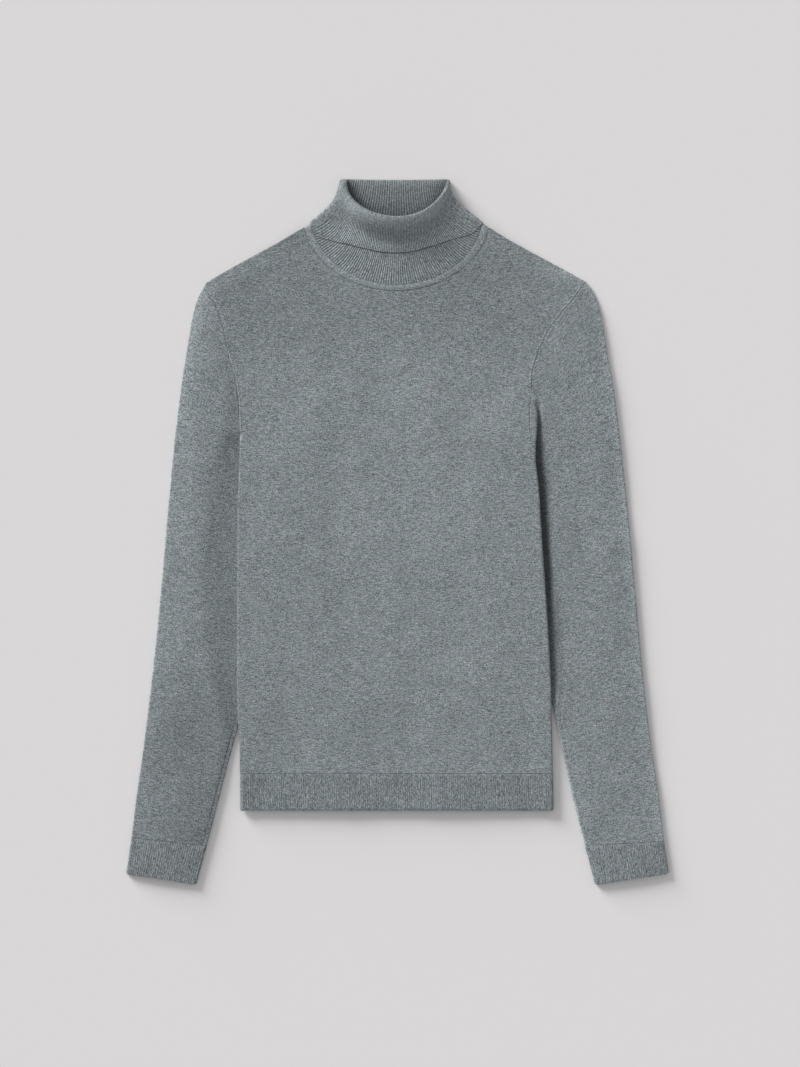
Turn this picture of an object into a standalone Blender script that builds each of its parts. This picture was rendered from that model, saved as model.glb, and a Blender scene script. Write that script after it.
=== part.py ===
"""Fine-gauge turtleneck sweater, laid flat on its back with both body sides folded under.

X runs across the sweater, Y from the hem to the collar, Z up from the surface that it lies on.
The wearer's right side is at -X. Sizes below are millimetres; "out" is a distance from x = 0
towards the side named. The origin is on the surface, in the middle of the laid outline.

Each piece is a wall between two grids of points. The body pieces share one height field and
one fold profile, so the front panel, the back panel and the hem nest in each other. The collar,
the neck band and the necklines share one surface, stand_point.
"""

import math

import bmesh
import bpy
import numpy as np

MM = 0.001

# Cloth
JERSEY = 1.0  # wall of the plain knit
RIB = 1.3  # wall of the ribbed knit, without its ribs
RIB_HEIGHT = 0.35
SEAM_GAP = 0.3
PRESSED = 2 * JERSEY + SEAM_GAP  # two plain walls lying on each other
CROWN = 3.3  # how much the cloth stands up between its edges
SOFT_EDGE = 30.0  # width over which the cloth rises from an outline
TUBE_EDGE = 1.0  # rounding of a flattened tube's edges

# Body
HEM_SEAM_Y = -285.0
HEM_END_Y = -329.0
HEM_RIBS = 140
HEM_INNER_STEP = 7
BODY_MIDDLE_X = -3.0
BODY_HALF_WIDTH = 182.0
UNDER_SLEEVE_HEIGHT = 7.6  # top of the folded body edge where a sleeve lies beneath
BARE_EDGE_HEIGHT = 5.9  # and where none does
BARE_EDGE_Y = (-290.0, -180.0)  # the edge changes from one height to the other between these
EDGE_BENDS_Y = (170.0, 90.0)  # the body bends towards that height between these
SLEEVES_BELOW_Y = 200.0  # the body lies over the sleeves up to here
PANEL_REACH = 1.1  # how far past the folded edge the body's bend still counts, as a share
SOFT_BLEND = 0.4  # rounding where the cloth meets what lies under it
SPARE_HEIGHT = 0.05
CURL_LENGTH = 22.0  # length of body edge over which the side turns under
CURL_EASE = 0.3  # how much wider the fold is where it starts, as a share
FULLY_TURNED = 3.0  # angle past which the side lies flat on what is under it
TUCK_STARTS = 0.6  # share of the turning under after which the folded side widens
TUCK_START_EASE = 12.0
FLAT_MARGIN = 10.0  # strip beside the armhole that becomes the fold lower down
MARGIN_SHARE = 0.03  # the same strip, as a share of the panel's width
MARGIN_IN_FOLD = 0.6  # share of the strip that goes into the fold, before the folded side
FOLD_INSET = 4.0  # the fold's height is read this far in from its edge
RAMP_START = 10.0  # past a sleeve's or a folded side's edge, the cloth above comes down
SLEEVE_RAMP = 32.0  # from the first distance to the second
TUCK_RAMP = 44.0
SLEEVE_SPARE = 16.0
TUCK_SPARE = 18.0
ARMHOLE_LIFT = 45.0  # height above the fold's start over which the back panel comes down
ARMHOLE_NEAR = (25.0, 4.0)  # it comes down between these distances from the armhole too
FOLD_ARCS = (0.25, 0.5, 0.75, 1.0)  # columns round the fold, as shares of its arc
FOLD_TAILS = (0.25, 0.5, 0.75, 1.0)  # and across the side folded under
FOLD_COLUMNS = len(FOLD_ARCS) + len(FOLD_TAILS)
SHOULDER_COLUMNS = 4
# Rows from the hem seam up to the folds' start, closer together where the sides turn under
LOWER_ROWS = (1.0, 0.84, 0.68, 0.52, 0.36, 0.22, 0.12, 0.0544, 0.0408, 0.0272, 0.0136, 0.0)
# Rows from there up to the shoulders
UPPER_ROWS = (0.15, 0.33, 0.52, 0.72, 0.88, 1.0)

# The armhole seam from the shoulder point to where the body's fold starts: out, y
ARMHOLE = {
    "right": (
        (228.9, 287.0),
        (214.6, 266.5),
        (205.9, 242.1),
        (198.4, 205.5),
        (190.6, 179.1),
        (187.0, 151.9),
        (185.9, 120.0),
    ),
    "left": (
        (222.4, 294.7),
        (205.9, 271.9),
        (193.8, 258.4),
        (177.5, 236.6),
        (166.6, 213.6),
        (158.6, 188.0),
        (158.4, 172.0),
        (165.0, 156.0),
    ),
}
# The folded body edge, from the armhole to the hem: y, out, width of the side folded under
FOLD = {
    "right": (
        (120.0, 185.9, 4.0),
        (98.0, 186.4, 34.0),
        (70.0, 187.3, 61.0),
        (37.0, 188.9, 61.0),
        (-33.0, 189.6, 61.0),
        (-195.0, 189.6, 61.0),
        (-258.0, 186.1, 60.0),
        (-329.0, 185.6, 52.0),
    ),
    "left": (
        (156.0, 165.0, 4.0),
        (134.0, 165.0, 26.0),
        (90.0, 162.9, 76.0),
        (52.8, 166.7, 74.0),
        (-10.9, 170.7, 70.0),
        (-84.1, 175.8, 65.0),
        (-185.6, 181.2, 60.0),
        (-254.0, 182.5, 58.0),
        (-329.0, 184.2, 52.0),
    ),
}
# The shoulder seam, from the shoulder point towards the neck: out, y
SHOULDER = {
    "right": ((228.9, 287.0), (225.7, 293.1), (220.9, 296.3), (208.9, 303.6), (126.9, 349.0)),
    "left": ((222.4, 294.7), (201.2, 306.5), (123.3, 349.0)),
}

# Sleeves
# The outer edge of the sleeve's cap, from the shoulder point down: out, y
CAP_EDGE = {
    "right": (
        (228.9, 287.0),
        (232.4, 282.2),
        (237.8, 268.5),
        (242.5, 249.9),
        (247.2, 221.6),
        (251.9, 193.2),
        (256.7, 160.0),
        (263.1, 107.1),
    ),
    "left": (
        (222.4, 294.7),
        (227.4, 288.4),
        (233.4, 277.1),
        (238.6, 262.1),
        (242.4, 243.3),
        (249.1, 201.8),
        (257.0, 154.0),
        (262.9, 107.1),
    ),
}
# The sleeve's two edges, from the upper arm to the cuff: outer out, outer y, inner out, inner y
SLEEVE = {
    "right": (
        (263.1, 107.1, 128.0, 90.6),
        (270.2, 31.6, 140.4, 17.4),
        (276.9, -45.1, 155.2, -58.1),
        (284.7, -127.7, 171.1, -140.7),
        (294.4, -212.7, 187.1, -224.5),
        (300.8, -263.4, 200.0, -274.1),
        (308.0, -313.0, 213.0, -324.8),
        (313.9, -360.8, 224.8, -370.2),
    ),
    "left": (
        (262.9, 107.1, 111.5, 90.6),
        (271.0, 31.6, 129.2, 17.4),
        (278.2, -45.1, 147.5, -58.1),
        (285.6, -127.7, 167.6, -140.7),
        (294.2, -212.7, 186.4, -219.8),
        (300.9, -263.4, 196.2, -265.8),
        (308.3, -313.0, 207.4, -316.5),
        (314.2, -364.9, 220.9, -369.6),
    ),
}
# The cuff's open end: outer out, outer y, inner out, inner y
CUFF_END = {
    "right": (320.4, -403.6, 237.4, -416.4),
    "left": (320.1, -403.2, 233.1, -416.5),
}
FOLD_ACROSS = {"right": 0.56, "left": 0.62}  # how far across the body's fold starts
UNDERARM_RISE = 11.4  # the armhole's lowest point is this far above the sleeve's first ring
SLEEVE_RISE_START = 11.0  # the sleeve rises beside the body's edge, over this stretch
SLEEVE_RISE_END = 30.0
SLEEVE_DIP_START = 22.0  # above the fold's start it goes down to pass under the body
SLEEVE_DIP_END = 3.0
FREE_BELOW_HEM = 25.0  # below the hem the sleeve rises over this stretch
CAP_CLEARANCE = (1.3 * SEAM_GAP, -0.65 * SEAM_GAP)  # the cap's shift out and down at the armhole
SPREAD_UNTIL = 0.4  # share of the sleeve below which its columns are evenly spaced
SLEEVE_EDGE_SHARES = (0.03, 0.06)  # columns beside the sleeve's outer edge
# Rings from the armhole (-1) over the upper arm (0) to the cuff (1)
SLEEVE_RINGS = (-1, -0.85, -0.6, -0.3, 0, 0.13, 0.26, 0.4, 0.54, 0.7, 0.86, 1)
LIP_IN_WALL = 0.6  # how much of a tube's edge rounding its inner face loses, per wall
CUFF_RIBS = 32
CUFF_BELOW = 9  # columns on a cuff's underside
CUFF_PRESSED = 2 * RIB + SEAM_GAP
CUFF_CROWN = 1.8
CUFF_CROWN_BEND = 0.7

# Neck and collar, on rings around the neck: the seam ring and the fold ring
SEAM_MIDDLE_X = -1.4
SEAM_HALF_WIDTH = 100.9
SEAM_SIDE_Y = 363.4
SEAM_FRONT_DROP = 72.2
SEAM_BACK_DROP = 24.4
SEAM_BEND = 1.03
FOLD_MIDDLE_X = -0.6
FOLD_HALF_WIDTH = 59.6
FOLD_SIDE_Y = 414.6
FOLD_FRONT_DROP = 46.0
FOLD_BACK_DROP = 1.2
FOLD_BEND = (0.73, 1.07)  # at the wearer's right and left
CORNER_ROUND = 0.15  # how softly the front starts to fall at the corners
SIDE_HOLLOW = 4.7  # how far the collar's sides draw in halfway up
SEAM_FRONT_HEIGHT = 7.2
FOLD_FRONT_HEIGHT = 25.0
FOLD_CORNER_OPEN = 3.0  # half the distance between the collar's front and back at its corners
SEAM_CORNER_OPEN = 1.6
CORNER_TURN = 0.09
RIB_MIDDLE = RIB / 2
TURN_DOWN_OFFSET = RIB + RIB_HEIGHT + 0.45  # from the stand's middle to the turn-down's
FOLD_ROLL = 3.6  # the same at the top of the front, where the fold is soft
EDGE_AT_SIDE = 0.08  # how far up the stand the turn-down's edge lies, as a share
EDGE_AT_FRONT = 0.42  # added to that in the middle of the front
EDGE_AT_BACK = 0.2
BACK_SETTLES = 0.4  # the back's shape is reached at this sine of the angle round the neck
LIFT_SETTLES = 0.5
SQUARE_SETTLES = 0.35  # in front, the stand leaves its seam squarely from here on
CLIMB_BELOW = 0.2  # the stand's share of its rise over all its height
CLIMB_STARTS = 0.62  # and the rest of the rise comes above this share
TURN_DOWN_SETTLES = 0.6
BAND_START = -0.085  # the neck band's edges, as shares of the stand's height
BAND_END = -0.008
NECKLINE = -0.094
CORNER_CLEARANCE = 1.2
NECK_COLUMNS = 16
COLLAR_FRONT_RIBS = 88
COLLAR_BACK_COLUMNS = 40
COLLAR_STAND = (0.0, 0.5, 1.0)  # shares of the stand below the turn-down's edge
COLLAR_COVERED = (0.25, 0.5, 0.75, 1.0)  # and of what the turn-down covers
COLLAR_TURN_DOWN = (0.0, 0.25, 0.5, 0.75, 1.0)
PLAIN_STEP = 6  # hidden faces have a point for every sixth column
CORNER_COLUMNS = 0.2
CORNER_ANGLES = (0.0, 0.02, 0.045, 0.07, 0.1, 0.15)
NECK_PULL = 42.0  # width over which a panel rises to the neck band

SIDES = {"right": -1.0, "left": 1.0}


def smooth(low, high, value):
    """0 below low, 1 above high, and an S between them; low may be above high."""
    t = np.clip((np.asarray(value, float) - low) / (high - low), 0.0, 1.0)
    return t * t * (3.0 - 2.0 * t)


def through(at, knots, values):
    """A smooth curve through (knots, values) that never overshoots them; knots rise."""
    knots = np.asarray(knots, float)
    values = np.asarray(values, float)
    step = np.diff(knots)
    slope = np.diff(values) / step
    product = slope[:-1] * slope[1:]
    total = slope[:-1] + slope[1:]
    inner = np.where(product > 0, 2 * product / np.where(total == 0, 1, total), 0)
    tangent = np.concatenate([[slope[0]], inner, [slope[-1]]])
    at = np.clip(np.asarray(at, float), knots[0], knots[-1])
    i = np.clip(np.searchsorted(knots, at) - 1, 0, len(step) - 1)
    t = (at - knots[i]) / step[i]
    rise = tangent[i] * step[i] * (t**3 - 2 * t**2 + t)
    rise += tangent[i + 1] * step[i] * (t**3 - t**2)
    return values[i] + (values[i + 1] - values[i]) * (3 * t**2 - 2 * t**3) + rise


def along(share, points):
    """The point at this share of the length of a smooth curve through the points."""
    points = np.asarray(points, float)
    lengths = np.hypot(*np.diff(points, axis=0).T)
    at = np.concatenate([[0.0], np.cumsum(lengths)]) / lengths.sum()
    return through(share, at, points[:, 0]), through(share, at, points[:, 1])


def rising(table, column, at):
    """One column of a table whose first column falls, read at a value of that first column."""
    rows = np.asarray(table, float)[::-1]
    return through(at, rows[:, 0], rows[:, column])


def distance_to(x, y, line):
    """The distance from each point to a line of joined points."""
    nearest = np.full(np.shape(x), np.inf)
    for (x0, y0), (x1, y1) in zip(line[:-1], line[1:]):
        span = (x1 - x0) ** 2 + (y1 - y0) ** 2
        t = np.clip(((x - x0) * (x1 - x0) + (y - y0) * (y1 - y0)) / max(span, 1e-9), 0, 1)
        away = np.hypot(x - x0 - t * (x1 - x0), y - y0 - t * (y1 - y0))
        nearest = np.minimum(nearest, away)
    return nearest


def softly_above(value, floor):
    """value, kept a little above floor with no crease."""
    return 0.5 * (value + floor + np.sqrt((value - floor) ** 2 + SOFT_BLEND**2))


# ---- Neck: one surface for the collar's stand, the neck band and both necklines


def rounded(value):
    """0 to 1 like the value, but starting softly."""
    return (np.hypot(value, CORNER_ROUND) - CORNER_ROUND) / (
        math.hypot(1.0, CORNER_ROUND) - CORNER_ROUND
    )


def ring(phi, half_width, middle_x, side_y, front_drop, back_drop, bend):
    """A loop around the neck: phi 0 at the wearer's right, pi/2 in front, pi at the left."""
    front = np.maximum(np.sin(phi), 0.0)
    back = np.maximum(-np.sin(phi), 0.0)
    x = middle_x - half_width * np.cos(phi)
    y = side_y - front_drop * rounded(front) ** bend - back_drop * rounded(back)
    return x, y


def neckline(phi):
    """The panels' edge along the neck band, drawn back a little where the band turns over."""
    point = stand_point(phi, NECKLINE)
    point[..., 0] -= CORNER_CLEARANCE * np.cos(phi) * (1 - corner_turn(phi) ** 2)
    return point


def seam_ring(phi):
    return ring(
        phi,
        SEAM_HALF_WIDTH,
        SEAM_MIDDLE_X,
        SEAM_SIDE_Y,
        SEAM_FRONT_DROP,
        SEAM_BACK_DROP,
        SEAM_BEND,
    )


def fold_ring(phi):
    toward_left = (1.0 - np.cos(phi)) / 2
    bend = FOLD_BEND[0] + (FOLD_BEND[1] - FOLD_BEND[0]) * toward_left
    return ring(
        phi,
        FOLD_HALF_WIDTH,
        FOLD_MIDDLE_X,
        FOLD_SIDE_Y,
        FOLD_FRONT_DROP,
        FOLD_BACK_DROP,
        bend,
    )


def edge_share(phi):
    """How far up the stand the turn-down's edge lies."""
    front = np.maximum(np.sin(phi), 0.0)
    back = np.maximum(-np.sin(phi), 0.0)
    return EDGE_AT_SIDE + EDGE_AT_FRONT * front + EDGE_AT_BACK * smooth(0, BACK_SETTLES, back)


def corner_open(share):
    return SEAM_CORNER_OPEN + (FOLD_CORNER_OPEN - SEAM_CORNER_OPEN) * np.clip(share, 0, 1)


def corner_turn(phi):
    """-1 on the collar's back, 1 on its front, and a quick turn at the corners."""
    return np.tanh(np.sin(phi) / CORNER_TURN)


def stand_height(phi, share):
    """Height of the middle of the collar's wall."""
    front = np.maximum(np.sin(phi), 0.0)
    back = np.maximum(-np.sin(phi), 0.0)
    lift = np.maximum(1 - smooth(0, LIFT_SETTLES, back), smooth(0, edge_share(phi), share))
    under = RIB_MIDDLE + TURN_DOWN_OFFSET * lift
    opened = corner_open(share)
    climb = CLIMB_BELOW * share + (1 - CLIMB_BELOW) * smooth(CLIMB_STARTS, 1.0, share)
    top = SEAM_FRONT_HEIGHT + (FOLD_FRONT_HEIGHT - SEAM_FRONT_HEIGHT) * climb
    corner = under + opened * (1 + corner_turn(phi))
    return corner + (top - under - 2 * opened) * front


def stand_point(phi, share):
    """The middle of the collar's wall, from its seam (share 0) to its fold (share 1)."""
    phi, share = np.broadcast_arrays(np.asarray(phi, float), np.asarray(share, float))
    seam_x, seam_y = seam_ring(phi)
    fold_x, fold_y = fold_ring(phi)
    rise_x = fold_x - seam_x
    rise_y = fold_y - seam_y
    front = np.maximum(np.sin(phi), 0.0)
    step = 1e-3
    next_x, next_y = seam_ring(phi + step)
    across_x = next_x - seam_x
    across_y = next_y - seam_y
    size = np.hypot(rise_x, rise_y) / np.maximum(np.hypot(across_x, across_y), 1e-6)
    square = smooth(0, SQUARE_SETTLES, front)
    start_x = square * -across_y * size + (1 - square) * rise_x
    start_y = square * across_x * size + (1 - square) * rise_y
    h_start = share**3 - 2 * share**2 + share
    h_end = share**3 - share**2
    h_rise = 3 * share**2 - 2 * share**3
    x = seam_x + h_rise * rise_x + h_start * start_x + h_end * rise_x
    y = seam_y + h_rise * rise_y + h_start * start_y + h_end * rise_y
    x = x + SIDE_HOLLOW * 4 * share * (1 - share) * np.cos(phi)
    return np.stack([x, y, stand_height(phi, share)], axis=-1)


def unit(vector):
    return vector / np.maximum(np.linalg.norm(vector, axis=-1, keepdims=True), 1e-9)


def stand_frame(phi, share):
    """The outward normal of the stand, and the direction up it."""
    step = 1e-3
    around = stand_point(phi + step, share) - stand_point(phi - step, share)
    upward = stand_point(phi, share + step) - stand_point(phi, share - step)
    return unit(np.cross(around, upward)), unit(upward)


# ---- Body: heights and the folded sides


def neck_height(x, y, back):
    """How strongly a panel is drawn to the neck band, and the band's height there."""
    face = -1.0 if back else 1.0
    phi = np.linspace(0.0, math.pi, 41) * face
    loop = neckline(phi)
    flat = loop[:, 2] + corner_open(NECKLINE) * (face - corner_turn(phi))
    away = np.hypot(x[..., None] - loop[:, 0], y[..., None] - loop[:, 1])
    nearest = away.argmin(axis=-1)
    pull = np.exp(-((away.min(axis=-1) / NECK_PULL) ** 2))
    return pull, flat[nearest]


def garment_outline(side):
    sign = SIDES[side]
    neck = neckline(0.0 if side == "right" else math.pi)[:2]
    shoulder = [(sign * out, y) for out, y in SHOULDER[side]]
    sleeve = [(sign * out, y) for out, y in CAP_EDGE[side]]
    return [tuple(neck)] + shoulder[::-1] + sleeve[1:]


def outline_rise(x, y):
    """0 on the shoulder and sleeve outline, 1 well inside it."""
    away = np.minimum(
        distance_to(x, y, garment_outline("right")), distance_to(x, y, garment_outline("left"))
    )
    return smooth(0, 1, np.sqrt(np.clip(away / SOFT_EDGE, 0, 1)))


def sleeve_under(x, y, spare=0.0):
    """Height that a pressed sleeve gives to what lies on it, up to a spare distance past it."""
    height = 0.0
    for side, sign in SIDES.items():
        rows = np.asarray(SLEEVE[side])[::-1]
        inner = through(y, rows[:, 3], rows[:, 2])
        top_out, top_y = ARMHOLE[side][-1]
        end_out, end_y = rows[-1, 2], rows[-1, 3] + UNDERARM_RISE
        slope = (top_y - end_y) / (top_out - end_out)
        edge_y = end_y + slope * (np.maximum(sign * x, end_out) - end_out)
        over = smooth(-SLEEVE_RAMP, -RAMP_START, sign * x - inner + spare)
        over = over * smooth(-SLEEVE_RAMP, -RAMP_START, edge_y - y + spare)
        height = height + over
    return (PRESSED + SEAM_GAP) * np.minimum(height, 1.0)


def tuck_under(x, y):
    """Height that the folded sides give to what lies on them."""
    height = 0.0
    for side, sign in SIDES.items():
        start_y = FOLD[side][0][0]
        end = rising(FOLD[side], 1, y) - rising(FOLD[side], 2, y)
        over = smooth(-TUCK_RAMP, -RAMP_START, sign * x - end + TUCK_SPARE)
        below_start = smooth(start_y + TUCK_START_EASE, start_y - TUCK_START_EASE, y)
        height = height + over * below_start
    return (PRESSED + SEAM_GAP) * np.minimum(height, 1.0)


def front_top(x, y):
    """Height of the front panel's outer face."""
    from_middle = np.clip(np.abs(x - BODY_MIDDLE_X) / BODY_HALF_WIDTH, 0, PANEL_REACH)
    covering = smooth(*BARE_EDGE_Y, y)
    edge = BARE_EDGE_HEIGHT + (UNDER_SLEEVE_HEIGHT - BARE_EDGE_HEIGHT) * covering
    plain = PRESSED + CROWN
    rise = (edge - plain) * from_middle**2 * smooth(*EDGE_BENDS_Y, y)
    height = PRESSED + CROWN * outline_rise(x, y) + rise
    lowest = sleeve_under(x, y, SLEEVE_SPARE) + tuck_under(x, y) + PRESSED + SPARE_HEIGHT
    height = np.where(y < SLEEVES_BELOW_Y, softly_above(height, lowest), height)
    pull, neck = neck_height(x, y, back=False)
    return height + pull * (neck + JERSEY / 2 - height)


def back_raise(x, y, front):
    """Height of the back panel's underside."""
    raised = sleeve_under(x, y, SLEEVE_SPARE) + tuck_under(x, y)
    for side, sign in SIDES.items():
        start_y = FOLD[side][0][0]
        edge = np.where(
            y > start_y,
            through(y, *np.asarray(ARMHOLE[side])[::-1, ::-1].T),
            rising(FOLD[side], 1, y),
        )
        near = smooth(*ARMHOLE_NEAR, edge - sign * x)
        near = near * smooth(start_y + ARMHOLE_LIFT, start_y, y)
        raised = np.maximum(raised, near * (front - PRESSED))
    pull, neck = neck_height(x, y, back=True)
    return raised + pull * (neck - JERSEY / 2 - raised)


def curl(side, y, top, under):
    """The fold profile at one height: start, arc length, angle and tail of the outer face."""
    start_y = FOLD[side][0][0]
    turned = float(np.clip((start_y - y) / CURL_LENGTH, 0, 1))
    angle = math.pi * float(smooth(0, 1, turned))
    radius = (top - under) / 2
    flat = (1 - turned) ** 2 * FLAT_MARGIN
    arc = MARGIN_IN_FOLD * flat + angle * radius * (1 + CURL_EASE * (1 - turned))
    if angle > 1:
        arc = min(arc, angle * (top - under) / (1 - math.cos(angle)))
    tuck = float(rising(FOLD[side], 2, y))
    tail = (1 - MARGIN_IN_FOLD) * flat + tuck * float(smooth(TUCK_STARTS, 1, turned))
    reach = arc + tail
    if angle > 0.05:
        reach = arc / angle
        if angle < math.pi / 2:
            reach = reach * math.sin(angle) + tail * math.cos(angle)
    start = float(rising(FOLD[side], 1, y)) - reach
    return start, arc, angle, tail


def curl_points(side, y, top_height, arcs, tails, depth):
    """Points round the fold and along the side folded under, at a depth below the outer face."""
    sign = SIDES[side]
    out = float(rising(FOLD[side], 1, y))
    under = float(sleeve_under(np.array(sign * out), np.array(y)))
    start, arc, angle, tail = curl(side, y, top_height, under)
    points = []
    for share in arcs:
        turn = angle * share
        if angle > 0.05:
            radius = arc / angle
            reach = radius * math.sin(turn)
            fall = radius * (1 - math.cos(turn))
        else:
            reach = arc * share
            fall = 0.0
        points.append(
            (start + reach - depth * math.sin(turn), top_height - fall - depth * math.cos(turn))
        )
    end_out = start + reach
    end_height = top_height - fall
    for share in tails:
        o = end_out + share * tail * math.cos(angle)
        height = end_height - share * tail * math.sin(angle)
        rest = float(sleeve_under(np.array(sign * o), np.array(y)))
        height = max(height, rest) if angle < FULLY_TURNED else rest
        points.append((o - depth * math.sin(angle), height - depth * math.cos(angle)))
    return [(sign * o, y, z) for o, z in points], start


def panel_top(share, back):
    """The panel's upper outline at a share of its width: shoulder, neckline, shoulder."""
    x0, y0 = neck_corner("right")
    x1, y1 = neck_corner("left")
    low, high = corner_shares()
    if share <= low:
        line = [(-out, y) for out, y in SHOULDER["right"]] + [(x0, y0)]
        return along(share / low, line)
    if share >= high:
        line = [(out, y) for out, y in SHOULDER["left"]] + [(x1, y1)]
        return along((1 - share) / (1 - high), line)
    middle = (share - low) / (high - low)
    phi = math.acos(1 - 2 * middle) * (-1.0 if back else 1.0)
    point = neckline(phi)
    return point[0], point[1]


def neck_corner(side):
    point = neckline(0.0 if side == "right" else math.pi)
    return float(point[0]), float(point[1])


def corner_shares():
    """Where the neck corners lie, as shares of the width between the shoulder points."""
    left_end = -SHOULDER["right"][0][0]
    right_end = SHOULDER["left"][0][0]
    width = right_end - left_end
    return (
        (neck_corner("right")[0] - left_end) / width,
        (neck_corner("left")[0] - left_end) / width,
    )


def panel_plan(share, up, back):
    """A point of the panel above the folds: share across, up from the folds to the top."""
    x_low = -ARMHOLE["right"][-1][0]
    y_low = ARMHOLE["right"][-1][1]
    x_low_left, y_low_left = ARMHOLE["left"][-1]
    low = (x_low + (x_low_left - x_low) * share, y_low + (y_low_left - y_low) * share)
    high = panel_top(share, back)
    right_out, right_y = along(1 - up, ARMHOLE["right"])
    left_out, left_y = along(1 - up, ARMHOLE["left"])
    right_high = ARMHOLE["right"][0]
    left_high = ARMHOLE["left"][0]
    lean = 1 - (1 - up) ** 2
    x = (1 - lean) * low[0] + lean * high[0]
    y = (1 - up) * low[1] + up * high[1]
    x += (1 - share) * (-right_out - ((1 - lean) * x_low - lean * right_high[0]))
    y += (1 - share) * (right_y - ((1 - up) * y_low + up * right_high[1]))
    x += share * (left_out - ((1 - lean) * x_low_left + lean * left_high[0]))
    y += share * (left_y - ((1 - up) * y_low_left + up * left_high[1]))
    return float(x), float(y)


def layer_height(x, y, depth, is_back):
    front = front_top(x, y)
    if not is_back:
        return front - depth
    return back_raise(x, y, front) + 2 * JERSEY + SEAM_GAP - depth


def body_row(y_right, y_left, shares, arcs, tails, depth, is_back):
    """One row of a body layer: end of the right tuck, fold, top, fold, end of the left tuck."""
    ends = {}
    for side, y in (("right", y_right), ("left", y_left)):
        out = float(rising(FOLD[side], 1, y))
        x = np.array(SIDES[side] * (out - FOLD_INSET))
        top = float(front_top(x, np.array(y)))
        ends[side] = curl_points(side, y, top, arcs, tails, depth)
    x = -ends["right"][1] + (ends["left"][1] + ends["right"][1]) * shares
    y = y_right + (y_left - y_right) * shares
    z = layer_height(x, y, depth, is_back)
    middle = [tuple(point) for point in np.stack([x, y, z], axis=-1)]
    return ends["right"][0][::-1] + middle + ends["left"][0]


def upper_row(up, shares, arcs, tails, depth, is_back):
    """One row of a body layer above the folds, with the same columns."""
    margin = [MARGIN_SHARE * (1 - MARGIN_IN_FOLD * share) for share in arcs]
    margin += [MARGIN_SHARE * (1 - MARGIN_IN_FOLD) * (1 - share) for share in tails]
    inside = MARGIN_SHARE + (1 - 2 * MARGIN_SHARE) * shares
    across = margin[::-1] + list(inside) + [1 - share for share in margin]
    plan = np.array([panel_plan(share, up, is_back) for share in across])
    z = layer_height(plan[:, 0], plan[:, 1], depth, is_back)
    return [tuple(point) for point in np.column_stack([plan, z])]


# ---- Sleeves and cuffs


def press_down(side, x, y):
    """0 where a sleeve lies pressed beside or under the body, 1 where it is free."""
    sign = SIDES[side]
    start_y = FOLD[side][0][0]
    beside = sign * x - rising(FOLD[side], 1, y)
    pressed = smooth(SLEEVE_DIP_START, SLEEVE_DIP_END, y - start_y)
    free_below = smooth(HEM_END_Y, HEM_END_Y - FREE_BELOW_HEM, y)
    freed = np.maximum(smooth(SLEEVE_RISE_START, SLEEVE_RISE_END, beside), free_below)
    return 1 - pressed * (1 - freed)


def sleeve_ring(side, down):
    """Outer and inner edge points of the sleeve, down 0 at the upper arm to 1 at the cuff."""
    rows = np.asarray(SLEEVE[side])
    at = np.linspace(0, 1, len(rows))
    return [through(down, at, rows[:, column]) for column in range(4)]


def armhole_low(side):
    """The armhole's lowest point, under the body."""
    out, y = SLEEVE[side][0][2:]
    return out, y + UNDERARM_RISE


def fold_share(side):
    """Where the body's fold starts, as a share of the armhole's length."""
    hole = np.array(list(ARMHOLE[side]) + [armhole_low(side)])
    lengths = np.hypot(*np.diff(hole, axis=0).T)
    return 1 - lengths[-1] / lengths.sum()


def armhole_point(side, share):
    """The armhole, seen to where the fold starts, then straight to its lowest point."""
    seen = fold_share(side)
    if share <= seen:
        return along(share / seen, ARMHOLE[side])
    out, y = ARMHOLE[side][-1]
    low_out, low_y = armhole_low(side)
    rest = (share - seen) / (1 - seen)
    return out + (low_out - out) * rest, y + (low_y - y) * rest


def spread(side, across, down):
    """Shares across the sleeve, moved so that its columns lie below the fold's start."""
    seen = fold_share(side)
    below = FOLD_ACROSS[side]
    if across <= seen:
        moved = across * below / seen
    else:
        moved = below + (across - seen) * (1 - below) / (1 - seen)
    return moved + (across - moved) * float(smooth(0, SPREAD_UNTIL, down))


def sleeve_plan(side, ring_at, across):
    """Plan of the sleeve: ring_at -1 at the armhole, 0 at the upper arm, 1 at the cuff."""
    if ring_at >= 0:
        out0, y0, out1, y1 = sleeve_ring(side, ring_at)
        across = spread(side, across, ring_at)
        return out0 + (out1 - out0) * across, y0 + (y1 - y0) * across
    out0, y0, out1, y1 = SLEEVE[side][0]
    hole_out, hole_y = armhole_point(side, across)
    up = -ring_at
    edge_out, edge_y = along(1 - up, CAP_EDGE[side])
    top_out, top_y = ARMHOLE[side][0]
    inner_y = y1 + UNDERARM_RISE * up
    below = spread(side, across, 0.0)
    out = up * hole_out + (1 - up) * (out0 + (out1 - out0) * below)
    y = up * hole_y + (1 - up) * (y0 + (y1 - y0) * below)
    out = out + (1 - across) * (edge_out - (up * top_out + (1 - up) * out0))
    y = y + (1 - across) * (edge_y - (up * top_y + (1 - up) * y0))
    y = y + across * (inner_y - (up * (y1 + UNDERARM_RISE) + (1 - up) * y1))
    return out, y


def sleeve_height(side, out, y, across, ring_at):
    x = SIDES[side] * out
    rise = outline_rise(x, y)
    if ring_at >= 0:
        out0, y0, out1, y1 = sleeve_ring(side, ring_at)
        width = np.hypot(out1 - out0, y1 - y0)
        across = spread(side, across, ring_at)
        rise = smooth(0, 1, np.sqrt(np.clip(across * width / SOFT_EDGE, 0, 1)))
        rise = rise * smooth(0, 1, np.sqrt(np.clip((1 - across) * width / SOFT_EDGE, 0, 1)))
    return PRESSED + CROWN * rise * press_down(side, x, y)


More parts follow.
